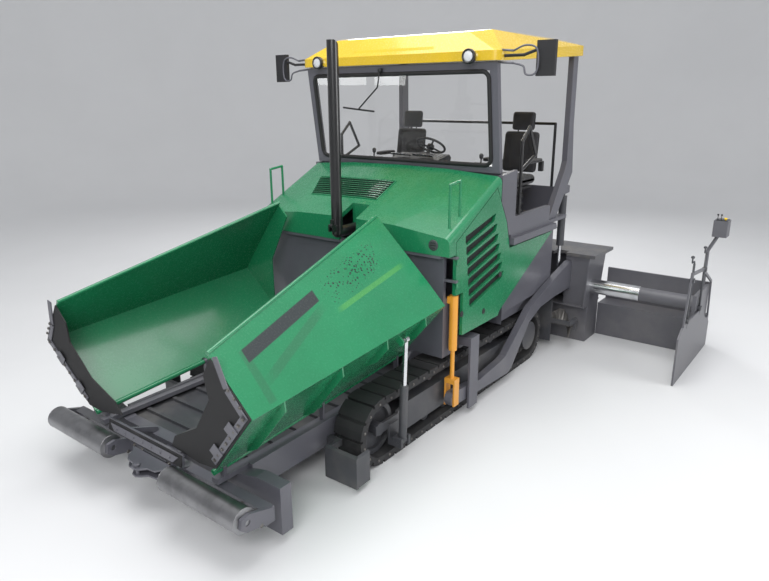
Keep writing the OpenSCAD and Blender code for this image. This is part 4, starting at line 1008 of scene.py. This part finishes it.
lamp_glass, silvered = ribbed_lens("lamp_lens"), mirror_glass("mirror_glass")
lamp_spots = (("front", -0.0702, 0.977, 3.520, 1, 0.062),
              ("rear", -2.3098, 0.900, 3.670, -1, 0.055))
pane_outline = ((1.625, 3.350), (1.770, 3.350), (1.775, 3.355), (1.775, 3.615), (1.770, 3.620),
                (1.625, 3.620), (1.620, 3.615), (1.620, 3.355))
guard_path = ((-0.200, 1.385, 3.560), (-0.190, 1.50, 3.600), (-0.190, 1.60, 3.585),
              (-0.190, 1.635, 3.52), (-0.190, 1.635, 3.40), (-0.190, 1.60, 3.345),
              (-0.190, 1.52, 3.350), (-0.195, 1.49, 3.42), (-0.200, 1.385, 3.450))
for side, word in both_sides:
    for label, x, y, z, way, radius in lamp_spots:
        bezel, glass = bmesh.new(), bmesh.new()
        spot, axis = (x, side * y, z), (way, 0, 0)
        lathe_into(bezel, spot, axis, [(-0.030, radius + 0.001), (-0.028, radius + 0.008),
                                       (0.004, radius + 0.008), (0.008, radius + 0.003),
                                       (0.008, radius - 0.008), (0.001, radius - 0.010)], 40)
        lathe_into(glass, spot, axis, [(0.001, radius - 0.009), (0.006, radius * 0.7),
                                       (0.009, radius * 0.4), (0.010, 0.001)], 40)
        place_piece(f"lamp_bezel_{label}_{word}", bezel, gloss_black, "root")
        place_piece(f"lamp_lens_{label}_{word}", glass, lamp_glass, "root")
    pane, guard = bmesh.new(), bmesh.new()
    plate_into(pane, [(-0.2602, side * y, z) for y, z in pane_outline], (-0.003, 0, 0), 0.0008)
    place_piece(f"mirror_pane_back_{word}", pane, silvered, "root", smooth=False)
    tube_into(guard, smooth_path([(x, side * y, z) for x, y, z in guard_path], 5), 0.009, 10)
    for z in (3.560, 3.450):
        tube_into(guard, [(-0.200, side * 1.386, z), (-0.205, side * 1.245, z + 0.012)], 0.011, 10)
    place_piece(f"mirror_guard_{word}", guard, body_grey, "root")
print("lamps and mirrors: 4 and 2")

# %% [markdown]
# ## Screed controls
# The crew beside the mat work from a small console on each extension: a raised panel with keys, two
# short levers with ball knobs and a yellow stop knob. Each end gate is set by two threaded spindles
# with crank handles, which stand in brackets on its upper frame.

# %% Consoles and spindles
knob_yellow = moulded_plastic("knob_yellow", [0.80, 0.52, 0.01, 1], 0.3)
panel_top = 1.7082
for side, word in both_sides:
    body, x0, y0 = f"extension_{word}", -3.056, side * 2.850
    panel, keys, stop, levers = (bmesh.new() for _ in range(4))
    block_into(panel, (x0 - 0.075, y0 - 0.066, 1.7002), (x0 + 0.075, y0 + 0.066, 1.708), 0.003)
    place_piece(f"outer_panel_{word}", panel, screen_dark, body, smooth=False)
    for i in range(3):
        for j in range(3):
            x, y = x0 - 0.060 + i * 0.034, y0 - 0.055 + j * 0.034
            block_into(keys, (x, y, panel_top), (x + 0.024, y + 0.024, 1.713), 0.002)
    place_piece(f"outer_keys_{word}", keys, key_grey, body, smooth=False)
    lathe_into(stop, (x0 + 0.056, y0 + 0.042, panel_top), upright,
               [(0, 0.008), (0.012, 0.008), (0.013, 0.017), (0.024, 0.019), (0.028, 0.014),
                (0.029, 0.001)], 28)
    place_piece(f"stop_knob_{word}", stop, knob_yellow, body)
    for dy in (-0.045, -0.005):
        foot = Vector((x0 + 0.052, y0 + dy, panel_top))
        tube_into(levers, [foot, foot + Vector((0.012, 0, 0.055))], 0.004, 10)
        lathe_into(levers, foot + Vector((0.012, 0, 0.050)), upright,
                   [(0, 0.003), (0.004, 0.010), (0.011, 0.013), (0.018, 0.010), (0.022, 0.001)], 20)
    place_piece(f"outer_levers_{word}", levers, black_plastic, body)
    spindles, gate_y = bmesh.new(), side * 2.806
    for x in (-2.62, -2.02):
        tube_into(spindles, [(x, gate_y, 0.60), (x, gate_y, 1.36)], 0.013, 16)
        for z in (0.66, 1.14):
            block_into(spindles, (x - 0.030, gate_y - 0.026, z),
                       (x + 0.030, gate_y + 0.026, z + 0.05), 0.005)
        crank = ((0, 1.345), (0, 1.375), (0.02, 1.39), (0.10, 1.39), (0.115, 1.40), (0.115, 1.45))
        tube_into(spindles, smooth_path([(x + dx, gate_y, z) for dx, z in crank], 4), 0.008, 12)
        lathe_into(spindles, (x + 0.115, gate_y, 1.44), upright,
                   [(0, 0.006), (0.004, 0.016), (0.014, 0.021), (0.026, 0.018), (0.034, 0.001)], 24)
    place_piece(f"gate_spindles_{word}", spindles, dark_grey, f"end_gate_{word}")
print("consoles: 2, spindles: 4")

# %% [markdown]
# ## Track pad bolts
# Every pad is held by bolts whose heads show at its outer edge. They follow the loop of the track,
# which is a stadium: two straight runs and two half circles.

# %% Pad bolts
front_axle, rear_axle, axle_z, pads = 1.530, -1.430, 0.320, 46
straight, bend = 2.960, math.pi * axle_z


def loop_spot(share, radius):
    """A point at a share of the way round the loop, as (x, z)."""
    s = share * 2 * (straight + bend)
    if s < straight:
        return front_axle - s, axle_z - radius
    if straight + bend <= s < 2 * straight + bend:
        return rear_axle + (s - straight - bend), axle_z + radius
    if s < straight + bend:
        centre, angle = rear_axle, math.radians(-90 - 180 * (s - straight) / bend)
    else:
        centre, angle = front_axle, math.radians(90 - 180 * (s - 2 * straight - bend) / bend)
    return centre + radius * math.cos(angle), axle_z + radius * math.sin(angle)


for side, word in both_sides:
    heads = bmesh.new()
    for k in range(pads):
        x, z = loop_spot((k + 0.5) / pads, 0.2775)
        for edge, way in ((1.1682, 1), (0.8618, -1)):
            bolt_into(heads, (x, side * edge, z), (0, side * way, 0), 0.010, 0.006)
    place_piece(f"pad_bolts_{word}", heads, worn_steel, "root")
print("pad bolts:", pads * 4)
